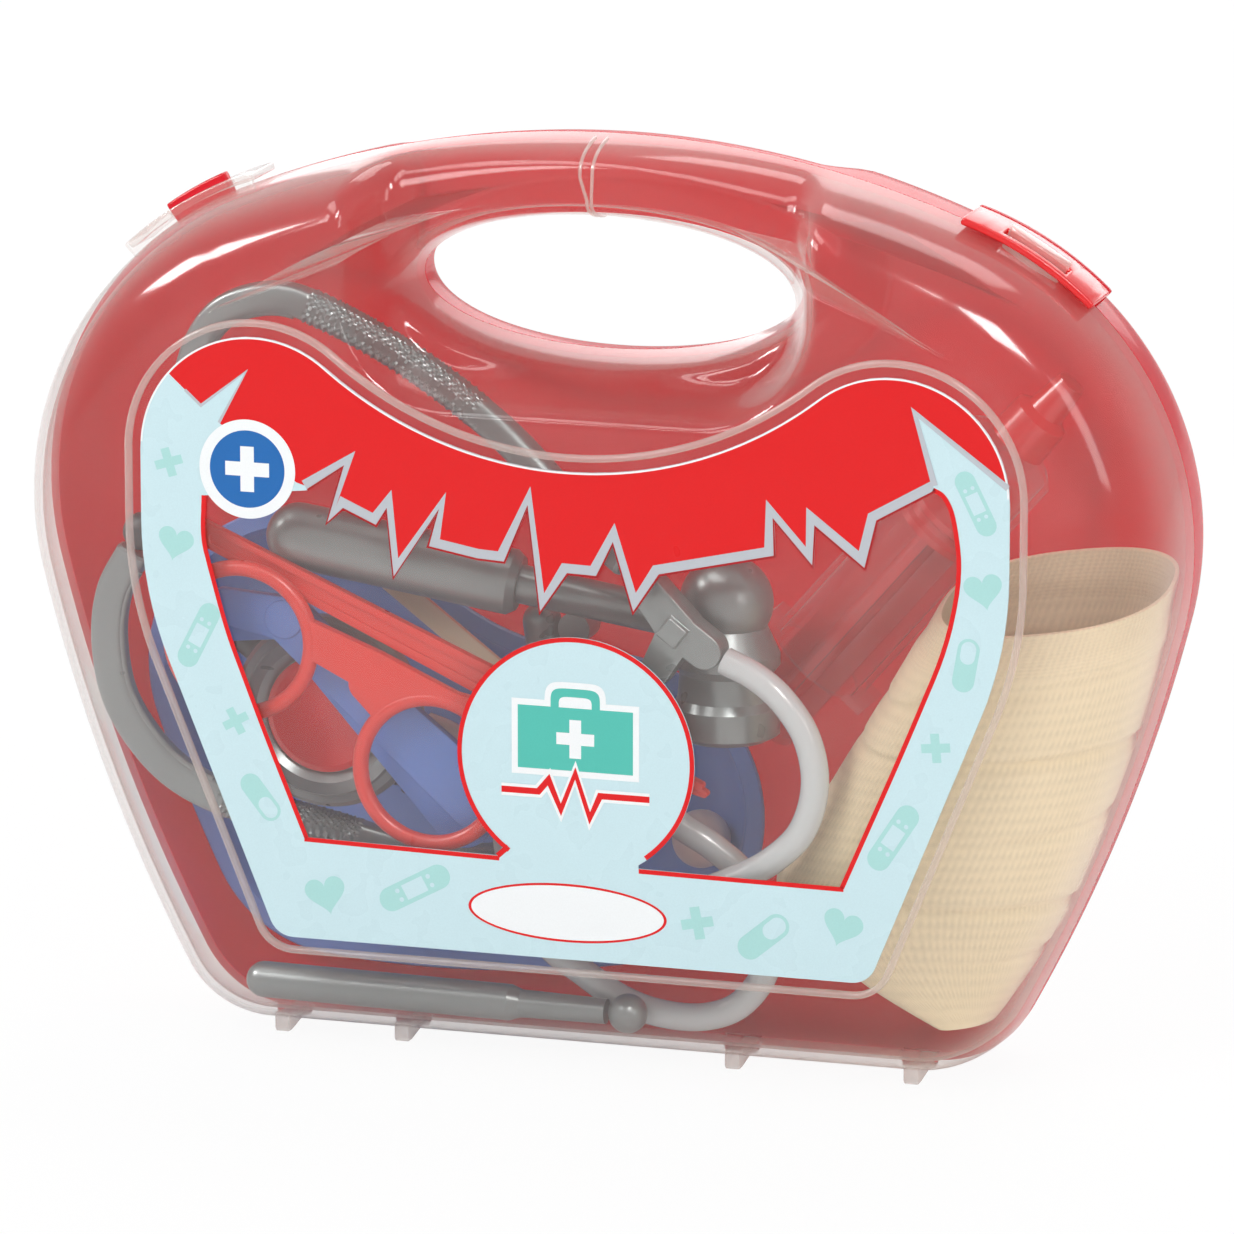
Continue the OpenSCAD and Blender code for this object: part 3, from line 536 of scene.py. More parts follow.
def flat_piece(name, low, high, y, material):
    """A printed field: the flat ruled surface between two lines of (x, z) points, facing -Y."""
    low, high = np.asarray(low, float), np.asarray(high, float)
    made = surface(name, [at_depth(low, y), at_depth(high, y)], material, flat=True)
    if sum(face.normal[1] * face.area for face in made.data.polygons[:40]) > 0:
        made.data.flip_normals()
    return made


def ribbon(name, points, width, y, material, turn=0.0):
    """A printed line: a strip of even width along a line of (x, z) points, whose corners are turned
    from turn away."""
    line = rounded_line(points, turn) if turn and len(points) > 2 else points
    return flat_piece(name, beside(line, -width / 2), beside(line, width / 2), y, material)


def disc(name, centre, radius, y, material, n=96, squeeze=1.0):
    """A printed disc or oval: two circles about a centre, the inner one as small as a point."""
    t = np.linspace(0, 2 * math.pi, n + 1)
    ring = np.column_stack([np.cos(t), squeeze * np.sin(t)])
    return flat_piece(name, centre + ring * 0.01, centre + ring * radius, y, material)


def smooth_path(points, k):
    """A smooth curve through points, k steps between neighbours (uniform cubic through each point)."""
    p = np.asarray(points, float)
    q = np.vstack([2 * p[0] - p[1], p, 2 * p[-1] - p[-2]])
    t = (np.arange(k) / k)[:, None]
    spans = [0.5 * (2 * q[i] + (q[i + 1] - q[i - 1]) * t
                    + (2 * q[i - 1] - 5 * q[i] + 4 * q[i + 1] - q[i + 2]) * t ** 2
                    + (3 * q[i] - q[i - 1] - 3 * q[i + 1] + q[i + 2]) * t ** 3)
             for i in range(1, len(p))]
    return np.vstack([*spans, p[-1:]])


def carried_frames(path):
    """Two directions across a path at each point, carried along it without twist."""
    tangent = np.gradient(path, axis=0)
    tangent /= np.linalg.norm(tangent, axis=1)[:, None]
    first, held = np.array([0.0, 1.0, 0.02]), []
    for t in tangent:
        first = first - t * (first @ t)
        first = first / np.linalg.norm(first)
        held.append(first)
    first = np.array(held)
    return tangent, first, np.cross(tangent, first)


def tube(name, path, radius, material, sides):
    """A circle carried along a path."""
    _, a, b = carried_frames(path)
    t = (np.arange(sides) / sides * 2 * math.pi)[None, :, None]
    grid = path[:, None] + radius * (a[:, None] * np.cos(t) + b[:, None] * np.sin(t))
    return surface(name, grid, material, wrap_v=True, caps=True)


def carried(name, path, outline, material):
    """An outline of (depth, across) points for each point of a path, carried along it. Depth runs near
    the Y axis and across in the plane of the path's bend."""
    _, a, b = carried_frames(path)
    grid = path[:, None] + outline[..., :1] * a[:, None] + outline[..., 1:] * b[:, None]
    return surface(name, grid, material, wrap_v=True, caps=True)


def way_along(path):
    """Distance run at each point of a path."""
    return np.append(0, np.cumsum(np.linalg.norm(np.diff(path, axis=0), axis=1)))


def turned(name, profile, base, tip, material, sides):
    """A profile of (radius, height) points turned about the line from base towards tip."""
    base, tip = np.array(base, float), np.array(tip, float)
    z = (tip - base) / np.linalg.norm(tip - base)
    x = np.cross((0, 1, 0) if abs(z[1]) < 0.9 else (1, 0, 0), z)
    x /= np.linalg.norm(x)
    y = np.cross(z, x)
    t = np.arange(sides) / sides * 2 * math.pi
    p = np.asarray(profile, float)
    ring = np.cos(t)[:, None] * x + np.sin(t)[:, None] * y
    grid = base + p[:, 0][:, None, None] * ring[None] + p[:, 1][:, None, None] * z
    return surface(name, grid, material, wrap_v=True, caps=True)


# ---------- sizes and colours that a user would change ----------
def colour_prop(label, text, rgb):
    """A colour that is written as it shows on screen."""
    return bpy.props.FloatVectorProperty(name=label, description=text, subtype="COLOR", size=3,
                                         min=0.0, max=1.0, default=shade(*rgb))


class ToyCaseColours(bpy.types.PropertyGroup):
    """Colours of the case's mouldings and of its printed card."""
    red: colour_prop("Red", "Catch, latch tab, plunger and cap", (226, 16, 22))
    shell: colour_prop("Shell red", "Back shell, as light shines through it", (234, 14, 46))
    milk: colour_prop("Milk", "Haze of the clear front shell", (232, 222, 216))
    grey: colour_prop("Grey", "Stethoscope, hammer and thermometer", (142, 149, 149))
    blue: colour_prop("Blue", "Forceps and kidney dish", (104, 140, 214))
    coral: colour_prop("Coral", "Scissors", (224, 52, 42))
    cloth: colour_prop("Cloth", "Bandage sleeve", (240, 224, 190))
    hose: colour_prop("Hose", "Stethoscope hose", (210, 217, 219))
    card: colour_prop("Card", "Ground of the printed card", (200, 226, 232))
    card_red: colour_prop("Card red", "Red field and lines of the card", (222, 16, 20))
    card_grey: colour_prop("Card grey", "Pulse line of the card", (186, 190, 197))
    motif: colour_prop("Motif", "Pale motifs of the card", (170, 217, 214))
    teal: colour_prop("Teal", "Emblem in the middle of the card", (84, 190, 176))


def length_prop(label, text, size):
    """A length in metres."""
    return bpy.props.FloatProperty(name=label, description=text, subtype="DISTANCE", unit="LENGTH",
                                   default=size)


def angle_prop(label, text, degrees):
    """An angle that is written in degrees."""
    return bpy.props.FloatProperty(name=label, description=text, subtype="ANGLE", unit="ROTATION",
                                   default=math.radians(degrees))


def power_prop(label, text, watts):
    return bpy.props.FloatProperty(name=label, description=text, default=watts)


class ToyCaseSizes(bpy.types.PropertyGroup):
    """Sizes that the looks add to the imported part."""
    hose_bore: length_prop("Hose diameter", "Diameter of the hose", 0.0066)
    knurl: length_prop("Knurl height", "Height of the knobs on the arms", 0.0008)
    cloth: length_prop("Cloth thickness", "Thickness of the sleeve", 0.0009)
    pulse: length_prop("Pulse line", "Width of the printed pulse line", 0.0026)


class ToyCaseStage(bpy.types.PropertyGroup):
    """Lamps and camera."""
    azimuth: angle_prop("Camera azimuth", "Turn of the camera to the right", 17.3)
    elevation: angle_prop("Camera elevation", "Height of the camera as an angle", 13.3)
    distance: length_prop("Camera distance", "From the camera to the case", 2.35)
    key: power_prop("Key lamp", "Power of the key lamp in watts", 17.0)
    fill: power_prop("Fill lamp", "Power of the fill lamp in watts", 8.0)
    back: power_prop("Back lamp", "Power of the lamp behind the case in watts", 12.0)
    shine: power_prop("Softboxes", "Power of the lamps that only shine in watts", 22.0)


def colours():
    return bpy.context.scene.toy_case_colours


def shared(name):
    """The material of that name, made when it is first asked for."""
    if name in bpy.data.materials:
        return bpy.data.materials[name]
    tone = colours()
    make, colour, *values, options = {
        "red_plastic": (moulded, tone.red, 0.24, dict(grain=0.06, coat=0.25, sub=0.06)),
        "red_shell": (moulded, tone.shell, 0.24, dict(grain=0.06, coat=0.25, glow=0.5)),
        "grey_plastic": (moulded, tone.grey, 0.3, dict(metal=0.45, grain=0.08)),
        "blue_plastic": (moulded, tone.blue, 0.34, dict(grain=0.08, sub=0.08)),
        "coral_plastic": (moulded, tone.coral, 0.3, dict(grain=0.08, sub=0.08)),
        "dark_plastic": (moulded, shade(62, 64, 66), 0.4, dict(grain=0.14)),
        "cream_plastic": (moulded, shade(222, 206, 178), 0.42, dict(grain=0.1)),
        "bulb_rubber": (moulded, shade(214, 196, 190), 0.5, {}),
        "clear_plastic": (see_through, tone.milk, 0.06, 0.62, (0.985, 0.975, 0.97), {}),
        "clear_edge": (see_through, tone.milk, 0.34, 0.7, (0.97, 0.95, 0.94), {}),
        "clear_rigid": (see_through, (0.9, 0.86, 0.86), 0.02, 0.5, (0.97, 0.95, 0.95), dict(rough=0.05)),
        "card_paper": (printed, tone.card, 0.28, {}),
        "card_red_ink": (printed, tone.card_red, {}),
        "card_grey_ink": (printed, tone.card_grey, {}),
        "card_dark_ink": (printed, shade(168, 22, 28), {}),
        "card_motif_ink": (printed, tone.motif, {}),
        "card_teal_ink": (printed, tone.teal, {}),
        "card_white_ink": (printed, shade(240, 243, 244), {}),
        "card_blue_ink": (printed, shade(30, 104, 176), {}),
        "white_vinyl": (rubbery, tone.hose, {}),
        "stretch_cloth": (stretch_cloth, tone.cloth, {}),
    }[name]
    return make(name, tuple(colour), *values, **options)


# ---------- the case ----------
def fine_shell(name, side, material):
    """A half shell as one closed band of rings, the outer skin and then the inner one, with round
    notches for the hinge ears of both shells."""
    rim = case_rim(6)
    grid = np.concatenate([shell_skin(rim, 0), shell_skin(rim, WALL)[::-1]])
    grid[..., 1] *= side
    made = surface(name, grid, material, wrap_u=True, wrap_v=True, sharp=50)
    room = 0.5
    notch = [(EYE_R + room, 0), (EYE_R + room, EAR_STEP + RIB_T + 1.4)]
    cutter = joined("cutter", [turned("cutter", notch, (x - EAR_STEP - RIB_T / 2 - room, 0, 0), (x, 0, 0),
                                      material, 40) for x in HINGE_X])
    cut = made.modifiers.new("notch", "BOOLEAN")
    cut.operation, cut.object, cut.solver = "DIFFERENCE", cutter, "EXACT"
    bpy.context.view_layer.objects.active = made
    bpy.ops.object.modifier_apply(modifier="notch")
    bpy.data.objects.remove(cutter)
    made.data.set_sharp_from_angle(angle=math.radians(50))
    return made


def panel_bead(name, side, material):
    """The raised line round the panel: a half-round profile carried along the panel's outline."""
    line = panel_line()
    t = np.linspace(0, math.pi, 13)
    across = np.append(RIDGE_W / 2 * np.cos(t), [-RIDGE_W / 2, RIDGE_W / 2])
    height = np.append(RIDGE_H * np.sin(t) ** 0.7, [-0.6, -0.6])
    rings = [at_depth(at(line, RIDGE_W / 2 + w), side * (FACE_Y - h)) for w, h in zip(across, height)]
    return surface(name, rings, material, wrap_u=True, wrap_v=True, sharp=60)


def rib_outline():
    """Side view (y, z) of a hinge rib: a foot at the front, a slope, and the round eye. Its underside
    starts so near the axis that it clears the other shell when the case is open."""
    turn = np.radians(np.linspace(150, -140, 22))
    eye = np.column_stack([EYE_R * np.cos(turn), EYE_R * np.sin(turn)])
    foot = [(3 - RIB_LEN, -AXIS_H), (0.6 - RIB_LEN, -AXIS_H), (-RIB_LEN, 0.8 - AXIS_H), (-RIB_LEN, 2.8)]
    return np.vstack([foot, [(-12, 2.4), (-8, 1.8), (-3.2, 1.5)], eye, [(-2.37, -0.36)]])


def hinge_ribs(name, side, shift, material):
    """Four ribs: the side view carried across X, a little smaller at both faces."""
    outline = rib_outline()
    rounds = ((-RIB_T / 2, 0.35), (-RIB_T / 2 + 0.12, 0.1), (-RIB_T / 2 + 0.4, 0.0),
              (RIB_T / 2 - 0.4, 0.0), (RIB_T / 2 - 0.12, 0.1), (RIB_T / 2, 0.35))
    ribs = []
    for x in HINGE_X:
        rings = [np.column_stack([np.full(len(outline), x + shift + level), side * p[:, 0], p[:, 1]])
                 for level, p in ((level, beside(outline, -inset, True)) for level, inset in rounds)]
        ribs.append(surface("rib", rings, material, wrap_v=True, caps=True, sharp=40))
    return joined(name, ribs)


LATCH_A, TAB_GAP, TAB_T, TAB_FRONT, TAB_L, CATCH_L = 59.4, 1.2, 1.8, -6.0, 36.0, 15.8


def shoulder_block(name, top, half, y0, y1, material, flip_x=1, flip_y=1, moon=0.0):
    """A block on the upper corner: a rounded box profile in radius and depth, carried round an arc
    of half degrees to both sides and drawn in at its ends. moon is the share of its depth that it
    loses towards the ends, as the square of the way out."""
    sunk = 1.2
    way = np.concatenate([[-1, -0.985], np.linspace(-0.94, 0.94, 17), [0.985, 1]])
    a = np.radians(LATCH_A + half * way)
    depth = (y1 - y0) * (1 - moon * way[:, None] ** 2)
    draw = np.concatenate([[0.3, 0.075], np.zeros(17), [0.075, 0.3]])[:, None]
    c, s = wave_power(np.arange(32) / 32 * 2 * math.pi, 0.3)
    r = (top - sunk) / 2 + CORNER_R + c * ((top + sunk) / 2 - draw)
    y = y0 + depth / 2 + s * (depth / 2 - draw)
    grid = np.stack([flip_x * (CORNER_C[0] + r * np.cos(a)[:, None]), flip_y * y,
                     CORNER_C[1] + r * np.sin(a)[:, None]], -1)
    return surface(name, grid, material, wrap_v=True, caps=True)


class TOYCASE_OT_shells(bpy.types.Operator):
    """Two fine half shells with their panel lines, hinge ribs, latch roots and catches"""
    bl_idname = "toycase.shells"
    bl_label = "Case shells"

    def execute(self, context):
        catch, tab = (math.degrees(size / 2 / (CORNER_R + TAB_GAP)) for size in (CATCH_L, TAB_L))
        top, root = TAB_GAP + TAB_T, (TAB_FRONT - 2.3, TAB_FRONT - 0.3)
        front, back = shared("clear_plastic"), shared("red_shell")
        shell = fine_shell("front_case_shell", 1, front)
        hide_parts("front_shell")
        parts = [shell, panel_bead("front_panel_line", 1, shared("clear_edge")),
                 hinge_ribs("front_hinge_ribs", 1, 0, shared("clear_edge")),
                 shoulder_block("left_tab_root", top, tab, *root, front, flip_x=-1),
                 shoulder_block("right_catch", top + 1.6, catch, 1.6, 6.4, shared("clear_edge"), flip_y=-1,
                                moon=0.6),
                 handle_seams("handle_seams", shared("clear_edge"))]
        for part in parts:
            rides(part, "case_front")
        shell = fine_shell("back_case_shell", -1, back)
        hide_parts("back_shell")
        parts = [shell, panel_bead("back_panel_line", -1, back),
                 hinge_ribs("back_hinge_ribs", -1, -EAR_STEP, back),
                 shoulder_block("right_tab_root", top, tab, *root, back, flip_y=-1),
                 shoulder_block("left_catch", top + 1.8, catch, 2, 6, back, flip_x=-1),
                 hinge_pins("hinge_pins", back)]
        for part in parts:
            rides(part, "case_back")
        return {"FINISHED"}


def hinge_pins(name, material):
    """The moulded pin from each back rib into the eye of the front rib beside it."""
    end = EAR_STEP + RIB_T / 2 + 0.4
    profile = [(PIN_R, 0), (PIN_R, end - 0.2), (PIN_R - 0.2, end)]
    return joined(name, [turned("pin", profile, (x - EAR_STEP, 0, 0), (x, 0, 0), material, 24)
                         for x in HINGE_X])


def handle_seams(name, material):
    """Two fine moulded lines across the grip: a thin bead carried up the front of the grip."""
    rim = case_rim(40)
    outline = at(rim, 0)
    skin = shell_skin(rim, 0, 24, 6)
    beads = []
    for x in (-2.6, 0.2):
        j = int(np.argmin(np.abs(outline[:, 0] - x) + (outline[:, 1] < 150) * 1e3))
        path = skin[4:-3, j]
        path = path[np.linalg.norm(np.diff(path, axis=0, prepend=path[:1] - 1), axis=1) > 0.02]
        beads.append(tube("bead", path, 0.42, material, 8))
    return joined(name, beads)


class TOYCASE_OT_latches(bpy.types.Operator):
    """The two latch tabs, with rounded edges"""
    bl_idname = "toycase.latches"
    bl_label = "Latch tabs"

    def execute(self, context):
        for side, material, slot in (("left", "clear_plastic", "clear"), ("right", "red_plastic", "red")):
            made = softened(side + "_latch", shared(material), 0.5, side + "_latch_tab")
            rides(made, "latch_" + side)
        return {"FINISHED"}


# ---------- the printed card ----------
PULSE = [(-64.5, 135.6), (-53.6, 142.6), (-58.1, 128.9), (-55.4, 132.1), (-47.4, 128.6), (-43.9, 133.5),
         (-42.3, 117.3), (-30.9, 134), (-33, 124), (-22.2, 122.1), (-16.5, 121.8), (-9.8, 136.5),
         (-6.7, 111.4), (-1.1, 120.1), (5.9, 119.9), (10.7, 129.2), (15.7, 113), (21, 121.2),
         (48.2, 127.4), (48.2, 137.3), (57.7, 126.8), (58, 136.2), (70.2, 126.9), (72.7, 137.2),
         (86.9, 145.4)]
# The pulse line as the red field's lower edge, with an upright step where it leans back over itself.
# STEP_Z holds the line's heights straight under the first two of these places.
NEAR, STEP_Z = 1e-4, (131.3, 123.63)
FIELD_EDGE = [(-85.5, 149.2), (-66.5, 136.2), *PULSE[:2], (PULSE[1][0] + NEAR, STEP_Z[0]), *PULSE[4:8],
              (PULSE[7][0] + NEAR, STEP_Z[1]), *PULSE[9:19], (PULSE[19][0] + NEAR, PULSE[19][1]),
              *PULSE[20:]]
BADGE, BADGE_R = (-78.6, 138.6), 11.8
DISC_C, OVAL = (1.4, 75.1), (-0.6, 37.9)
LEFT_EDGE = [(-89.4, 131.6), (-89.8, 121.4), (-88.1, 114.8), (-83.9, 99.4), (-74.3, 74.5), (-64.7, 51.1)]
RIGHT_EDGE = [(86.9, 144.6), (89.6, 143.4), (91.9, 138.7), (93.7, 125.4), (90.5, 108.1), (79.3, 80.6),
              (65.8, 49.1)]


def card_top(x):
    """Height of the card's upper edge at x, read along the panel's outline."""
    p = at(panel_line(), RIDGE_W + CARD_MARGIN)
    upper = p[p[:, 1] > LOBE_Z]
    upper = upper[np.argsort(upper[:, 0])]
    return np.interp(x, upper[:, 0], upper[:, 1])


def heights(line, x):
    """Height of a line of points, which runs left to right, at each x."""
    p = np.asarray(line, float)
    return np.interp(x, p[:, 0] + np.arange(len(p)) * 1e-6, p[:, 1])


def red_fields(material, y):
    """The red field of the card, between the pulse line and the card's upper edge: three strips over
    and between the two spikes, and the two corners where the pulse line leans back over itself."""
    left_tip, left_foot, right_tip, right_foot = (-78.6, 161.9), (-85.5, 149.2), (82.4, 162.4), (104.6, 146.1)
    x = np.linspace(-98.5, left_tip[0], 80)
    low = heights([(-98.5, 160.8), (-89.9, 153.0), left_tip], x)
    strips = [(x, low, card_top(x))]
    x = np.unique(np.concatenate([np.linspace(left_foot[0], PULSE[-1][0], 400), [p[0] for p in FIELD_EDGE],
                                  [left_tip[0] - NEAR, left_tip[0], right_tip[0], right_tip[0] + NEAR]]))
    top = card_top(x)
    top = np.where(x < left_tip[0], heights([left_foot, left_tip], x), top)
    top = np.where(x > right_tip[0], heights([right_tip, PULSE[-1]], x), top)
    strips.append((x, heights(FIELD_EDGE, x), top))
    x = np.linspace(right_tip[0], right_foot[0], 60)
    strips.append((x, heights([right_tip, right_foot], x), card_top(x)))
    x = np.array([PULSE[2][0], PULSE[3][0], PULSE[1][0]])
    strips.append((x, heights([PULSE[2], PULSE[3], (x[2], STEP_Z[0])], x), heights([PULSE[2], PULSE[1]], x)))
    x = np.array([PULSE[8][0], PULSE[7][0]])
    strips.append((x, np.array([PULSE[8][1], STEP_Z[1]]), np.array([PULSE[8][1], PULSE[7][1]])))
    parts = [flat_piece("red", np.column_stack([x, low]), np.column_stack([x, np.maximum(low, high)]),
                        y, material) for x, low, high in strips]
    return joined("card_red_field", parts)


def pulse_band(material, edge, y):
    """The pulse line: a band of even width along the zigzag, with a thin dark line under it."""
    width = bpy.context.scene.toy_case_sizes.pulse / MM
    line = np.array(PULSE)
    return [ribbon("card_pulse_line", line, width, y, material),
            ribbon("card_pulse_edge", beside(line, -width / 2 + 0.1), 0.5, y - 2 * INK, edge)]


def turning(tilt):
    """The matrix that turns (x, z) rows by tilt."""
    c, s = math.cos(tilt), math.sin(tilt)
    return np.array([[c, s], [-s, c]])


def mark(name, centre, x, z, tilt, y, material):
    """A motif that is alike above and below its axis: ruled between (x, -z) and (x, z), turned by
    tilt about its centre."""
    low, high = (np.column_stack([x, side * np.asarray(z)]) @ turning(tilt) + centre for side in (-1, 1))
    return flat_piece(name, low, high, y, material)


def plus_mark(centre, size, tilt, y, material, _=None):
    """A cross whose arms reach size from its centre and are 0.62 of it wide."""
    w = size * 0.31
    return [mark("plus", centre, (-size, -w, -w, w, w, size), (w, w, size, size, w, w), tilt, y, material)]


def heart_mark(centre, size, tilt, y, material, _=None):
    """A heart: x = 16 sin^3 t, z = 13 cos t - 5 cos 2t - 2 cos 3t - cos 4t, ruled from its middle."""
    t = np.linspace(0, 2 * math.pi, 80)
    z = 13 * np.cos(t) - 5 * np.cos(2 * t) - 2 * np.cos(3 * t) - np.cos(4 * t)
    p = np.column_stack([16 * np.sin(t) ** 3, z]) * size / 16 @ turning(tilt)
    return [flat_piece("heart", p * 0.01 + centre, p + centre, y, material)]


def round_strip(centre, half, thick, tilt, y, material):
    """A strip with half-round ends, half long and thick wide from its middle."""
    x = half * np.sin(np.linspace(-1, 1, 41) * math.pi / 2)
    over = np.maximum(0, np.abs(x) - (half - thick))
    return mark("strip", centre, x, np.sqrt(np.maximum(0, thick ** 2 - over ** 2)), tilt, y, material)


def strip_mark(centre, size, tilt, y, material, pad):
    """A sticking plaster: a round-ended strip, a pale pad and four holes."""
    holes = size * np.array([(-0.45, 0.12), (-0.45, -0.12), (0.45, 0.12), (0.45, -0.12)]) @ turning(tilt)
    half = size * 0.3
    return [round_strip(centre, size, size * 0.31, tilt, y, material),
            mark("pad", centre, (-half, half), np.full(2, size * 0.2), tilt, y - 2 * INK, pad),
            *(disc("hole", spot, size * 0.06, y - 2 * INK, pad, n=16) for spot in holes + centre)]


def pill_mark(centre, size, tilt, y, material, pad):
    """A capsule: a round-ended strip whose one half is pale inside its line."""
    end = np.array([size * 0.4, 0]) @ turning(tilt) + centre
    return [round_strip(centre, size * 0.85, size * 0.35, tilt, y, material),
            round_strip(end, size * 0.36, size * 0.24, tilt, y - 2 * INK, pad)]


MARKS = [
    (plus_mark, (-98, 139), 3.45, 0.3), (heart_mark, (-96.5, 120), 4.4, -0.2),
    (strip_mark, (-91, 98), 8.5, 1.1), (plus_mark, (-82, 78), 3.3, 0.5),
    (pill_mark, (-76, 60), 7.5, -0.9), (heart_mark, (-60, 38), 5.0, 0.25),
    (strip_mark, (-38, 41), 9.5, 0.5), (plus_mark, (31, 38), 3.9, 0.2), (pill_mark, (47, 36), 8.5, 0.7),
    (heart_mark, (66, 40), 4.8, -0.3), (strip_mark, (78, 62), 9.0, 1.0), (plus_mark, (88, 84), 3.45, 0.1),
    (pill_mark, (95, 104), 7.5, 1.4), (heart_mark, (99, 122), 4.6, 0.2), (strip_mark, (97, 142), 8.0, -1.1)]


def edge_lines(material, y):
    """The card's thin border lines: both flanks, the foot on both sides, and the disc's rim."""
    t = np.radians(np.linspace(-53, 235, 120))
    rim = np.array(DISC_C) + (DISC_R - 0.55) * np.column_stack([np.cos(t), np.sin(t)])
    return joined("card_edge_lines", [
        ribbon("line", LEFT_EDGE, 1.1, y, material, turn=6),
        ribbon("line", RIGHT_EDGE, 1.1, y, material, turn=9),
        ribbon("line", [(-65.2, 50.7), (-17.2, 49.8)], 1.1, y, material),
        ribbon("line", [(-17.6, 50.4), (-15.0, 52.8)], 1.3, y - INK / 2, material),
        ribbon("line", [(16.8, 49.3), (66.2, 48.8)], 1.1, y, material),
        ribbon("line", rim, 1.1, y, material, turn=0.1)])


class TOYCASE_OT_card(bpy.types.Operator):
    """The card's print: the red field, the pulse line, the edge lines, the emblem and the motifs"""
    bl_idname = "toycase.card"
    bl_label = "Card print"

    def execute(self, context):
        paper = shared("card_paper")
        red, grey, dark, motif, white, blue = (
            shared("card_" + name + "_ink") for name in ("red", "grey", "dark", "motif", "white", "blue"))
        painted(["window_card"], paper)
        y = CARD_FRONT - 2 * INK
        over = y - 3 * INK
        parts = [red_fields(red, y), *pulse_band(grey, dark, over)]
        left = [(-93.8, 156.5), (-89.9, 153.0), (-78.6, 161.9), (-85.5, 149.2)]
        right = [(87.3, 145.6), (82.4, 162.4), (104.6, 146.1)]
        parts.append(joined("card_spike_lines", [ribbon("spike", left, 0.7, over, grey),
                                                 ribbon("spike", right, 1.5, y - 6 * INK, grey)]))
        parts.append(edge_lines(red, over))
        rim = at(panel_line(), RIDGE_W + CARD_MARGIN + 0.25)
        parts.append(ribbon("card_top_line", rim[rim[:, 1] > LOBE_Z], 0.45, over, white))
        marks = [part for make, centre, size, tilt in MARKS
                 for part in make(centre, size, tilt, y, motif, paper)]
        parts.append(joined("card_motifs", marks))
        parts.append(joined("card_emblem", emblem(y, shared("card_teal_ink"), white, red)))
        parts.append(joined("card_badge", [
            disc("badge", BADGE, BADGE_R, y - 5 * INK, white),
            disc("badge", BADGE, BADGE_R - 2.6, y - 7 * INK, blue),
            *plus_mark(BADGE, 5.4, 0, y - 9 * INK, white)]))
        parts.append(joined("card_oval", [disc("oval", OVAL, 24.2, y - INK, red, squeeze=0.29),
                                          disc("oval", OVAL, 23.5, over, white, squeeze=0.275)]))
        for part in parts:
            rides(part, "case_front")
        return {"FINISHED"}


def emblem(y, teal, white, red):
    """A small case with a cross and a pulse line under it, all in flat tones."""
    cx, cz = DISC_C
    box = np.array([(-14, -3), (-14, 12), (14, 12), (14, -3)]) + DISC_C
    parts = []
    for grow, tone, lift in ((1.5, white, 2), (0.0, teal, 4)):
        line = box + np.sign(box - (cx, cz + 4.5)) * grow
        parts.append(flat_piece("case", [line[0], line[3]], [line[1], line[2]], y - lift * INK, tone))
        arch = np.column_stack(wave_power(np.linspace(0, math.pi, 25), 0.4))
        foot, half = (cx, cz + 12 - grow), 1.0 + grow
        parts.append(flat_piece("handle", foot + arch * (5 - half, 3.6 - half + grow),
                                foot + arch * (5 + half, 3.6 + half + grow), y - (lift + 1) * INK, tone))
    parts += plus_mark((cx, cz + 4.6), 4.6, 0, y - 6 * INK, white)
    beat = np.array([(-18, -8.5), (-9, -8.5), (-6.5, -5.5), (-3.5, -12.5), (0, -3.5), (3.5, -14), (6, -8.5),
                     (18, -8.5)]) + DISC_C
    return [*parts, ribbon("beat", beat, 3.0, y - 5 * INK, white),
            ribbon("beat", beat, 1.5, y - 7 * INK, red)]


# ---------- hose, headset and chest piece ----------
HOSE_PATH = [(34.6, -24, 98.6), (42, -24.6, 95.5), (49, -25.6, 90.5), (55, -26, 82), (57, -26, 71),
             (54, -26, 60), (47, -26, 52.5), (38, -25, 47), (27, -24, 42.5), (14, -23, 41), (4, -20, 45),
             (0, -17, 54), (5, -16, 62), (14, -16, 62), (22, -16, 56), (29, -16, 52), (37, -15, 45),
             (42, -13, 34), (41, -11, 22), (35, -11, 13), (26, -11, 9), (15, -11, 9), (5, -11, 12),
             (-4, -11, 17.5), (-12, -11, 23), (-19, -11, 32), (-22, -11, 43), (-24, -11, 55),
             (-29, -11, 66), (-36, -11, 72), (-42.6, -11, 74.4)]
UPPER_ARM = [(-106, 1, 149), (-102, 1, 161), (-95.3, 1, 169), (-84, 1, 172.4), (-72.7, 1, 170),
             (-50, 0, 159.5), (-27, -3, 145), (-8, -11, 131), (5, -19, 123), (11, -23, 120)]
LOWER_ARM = [(-116.7, -6, 110.6), (-122, -6, 100.4), (-123.4, -6, 88), (-120.6, -6, 74),
             (-111.8, -6, 61.4), (-101, -6, 54), (-86, -6, 49.6), (-70, -6, 46.5), (-50, -3, 41.5),
             (-30, 1, 39.5), (-10, 1, 47), (4, -4, 62), (9.6, -12, 76), (13.6, -19.8, 87),
             (15, -22.5, 89.6)]


class TOYCASE_OT_hose(bpy.types.Operator):
    """The white hose, from the yoke to the chest piece"""
    bl_idname = "toycase.hose"
    bl_label = "Hose"

    def execute(self, context):
        bore = context.scene.toy_case_sizes.hose_bore / MM
        path = smooth_path(HOSE_PATH, 10)
        made = tube("stethoscope_hose", path, bore / 2, shared("white_vinyl"), 40)
        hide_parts("hose")
        rides(made, "case_back")
        return {"FINISHED"}


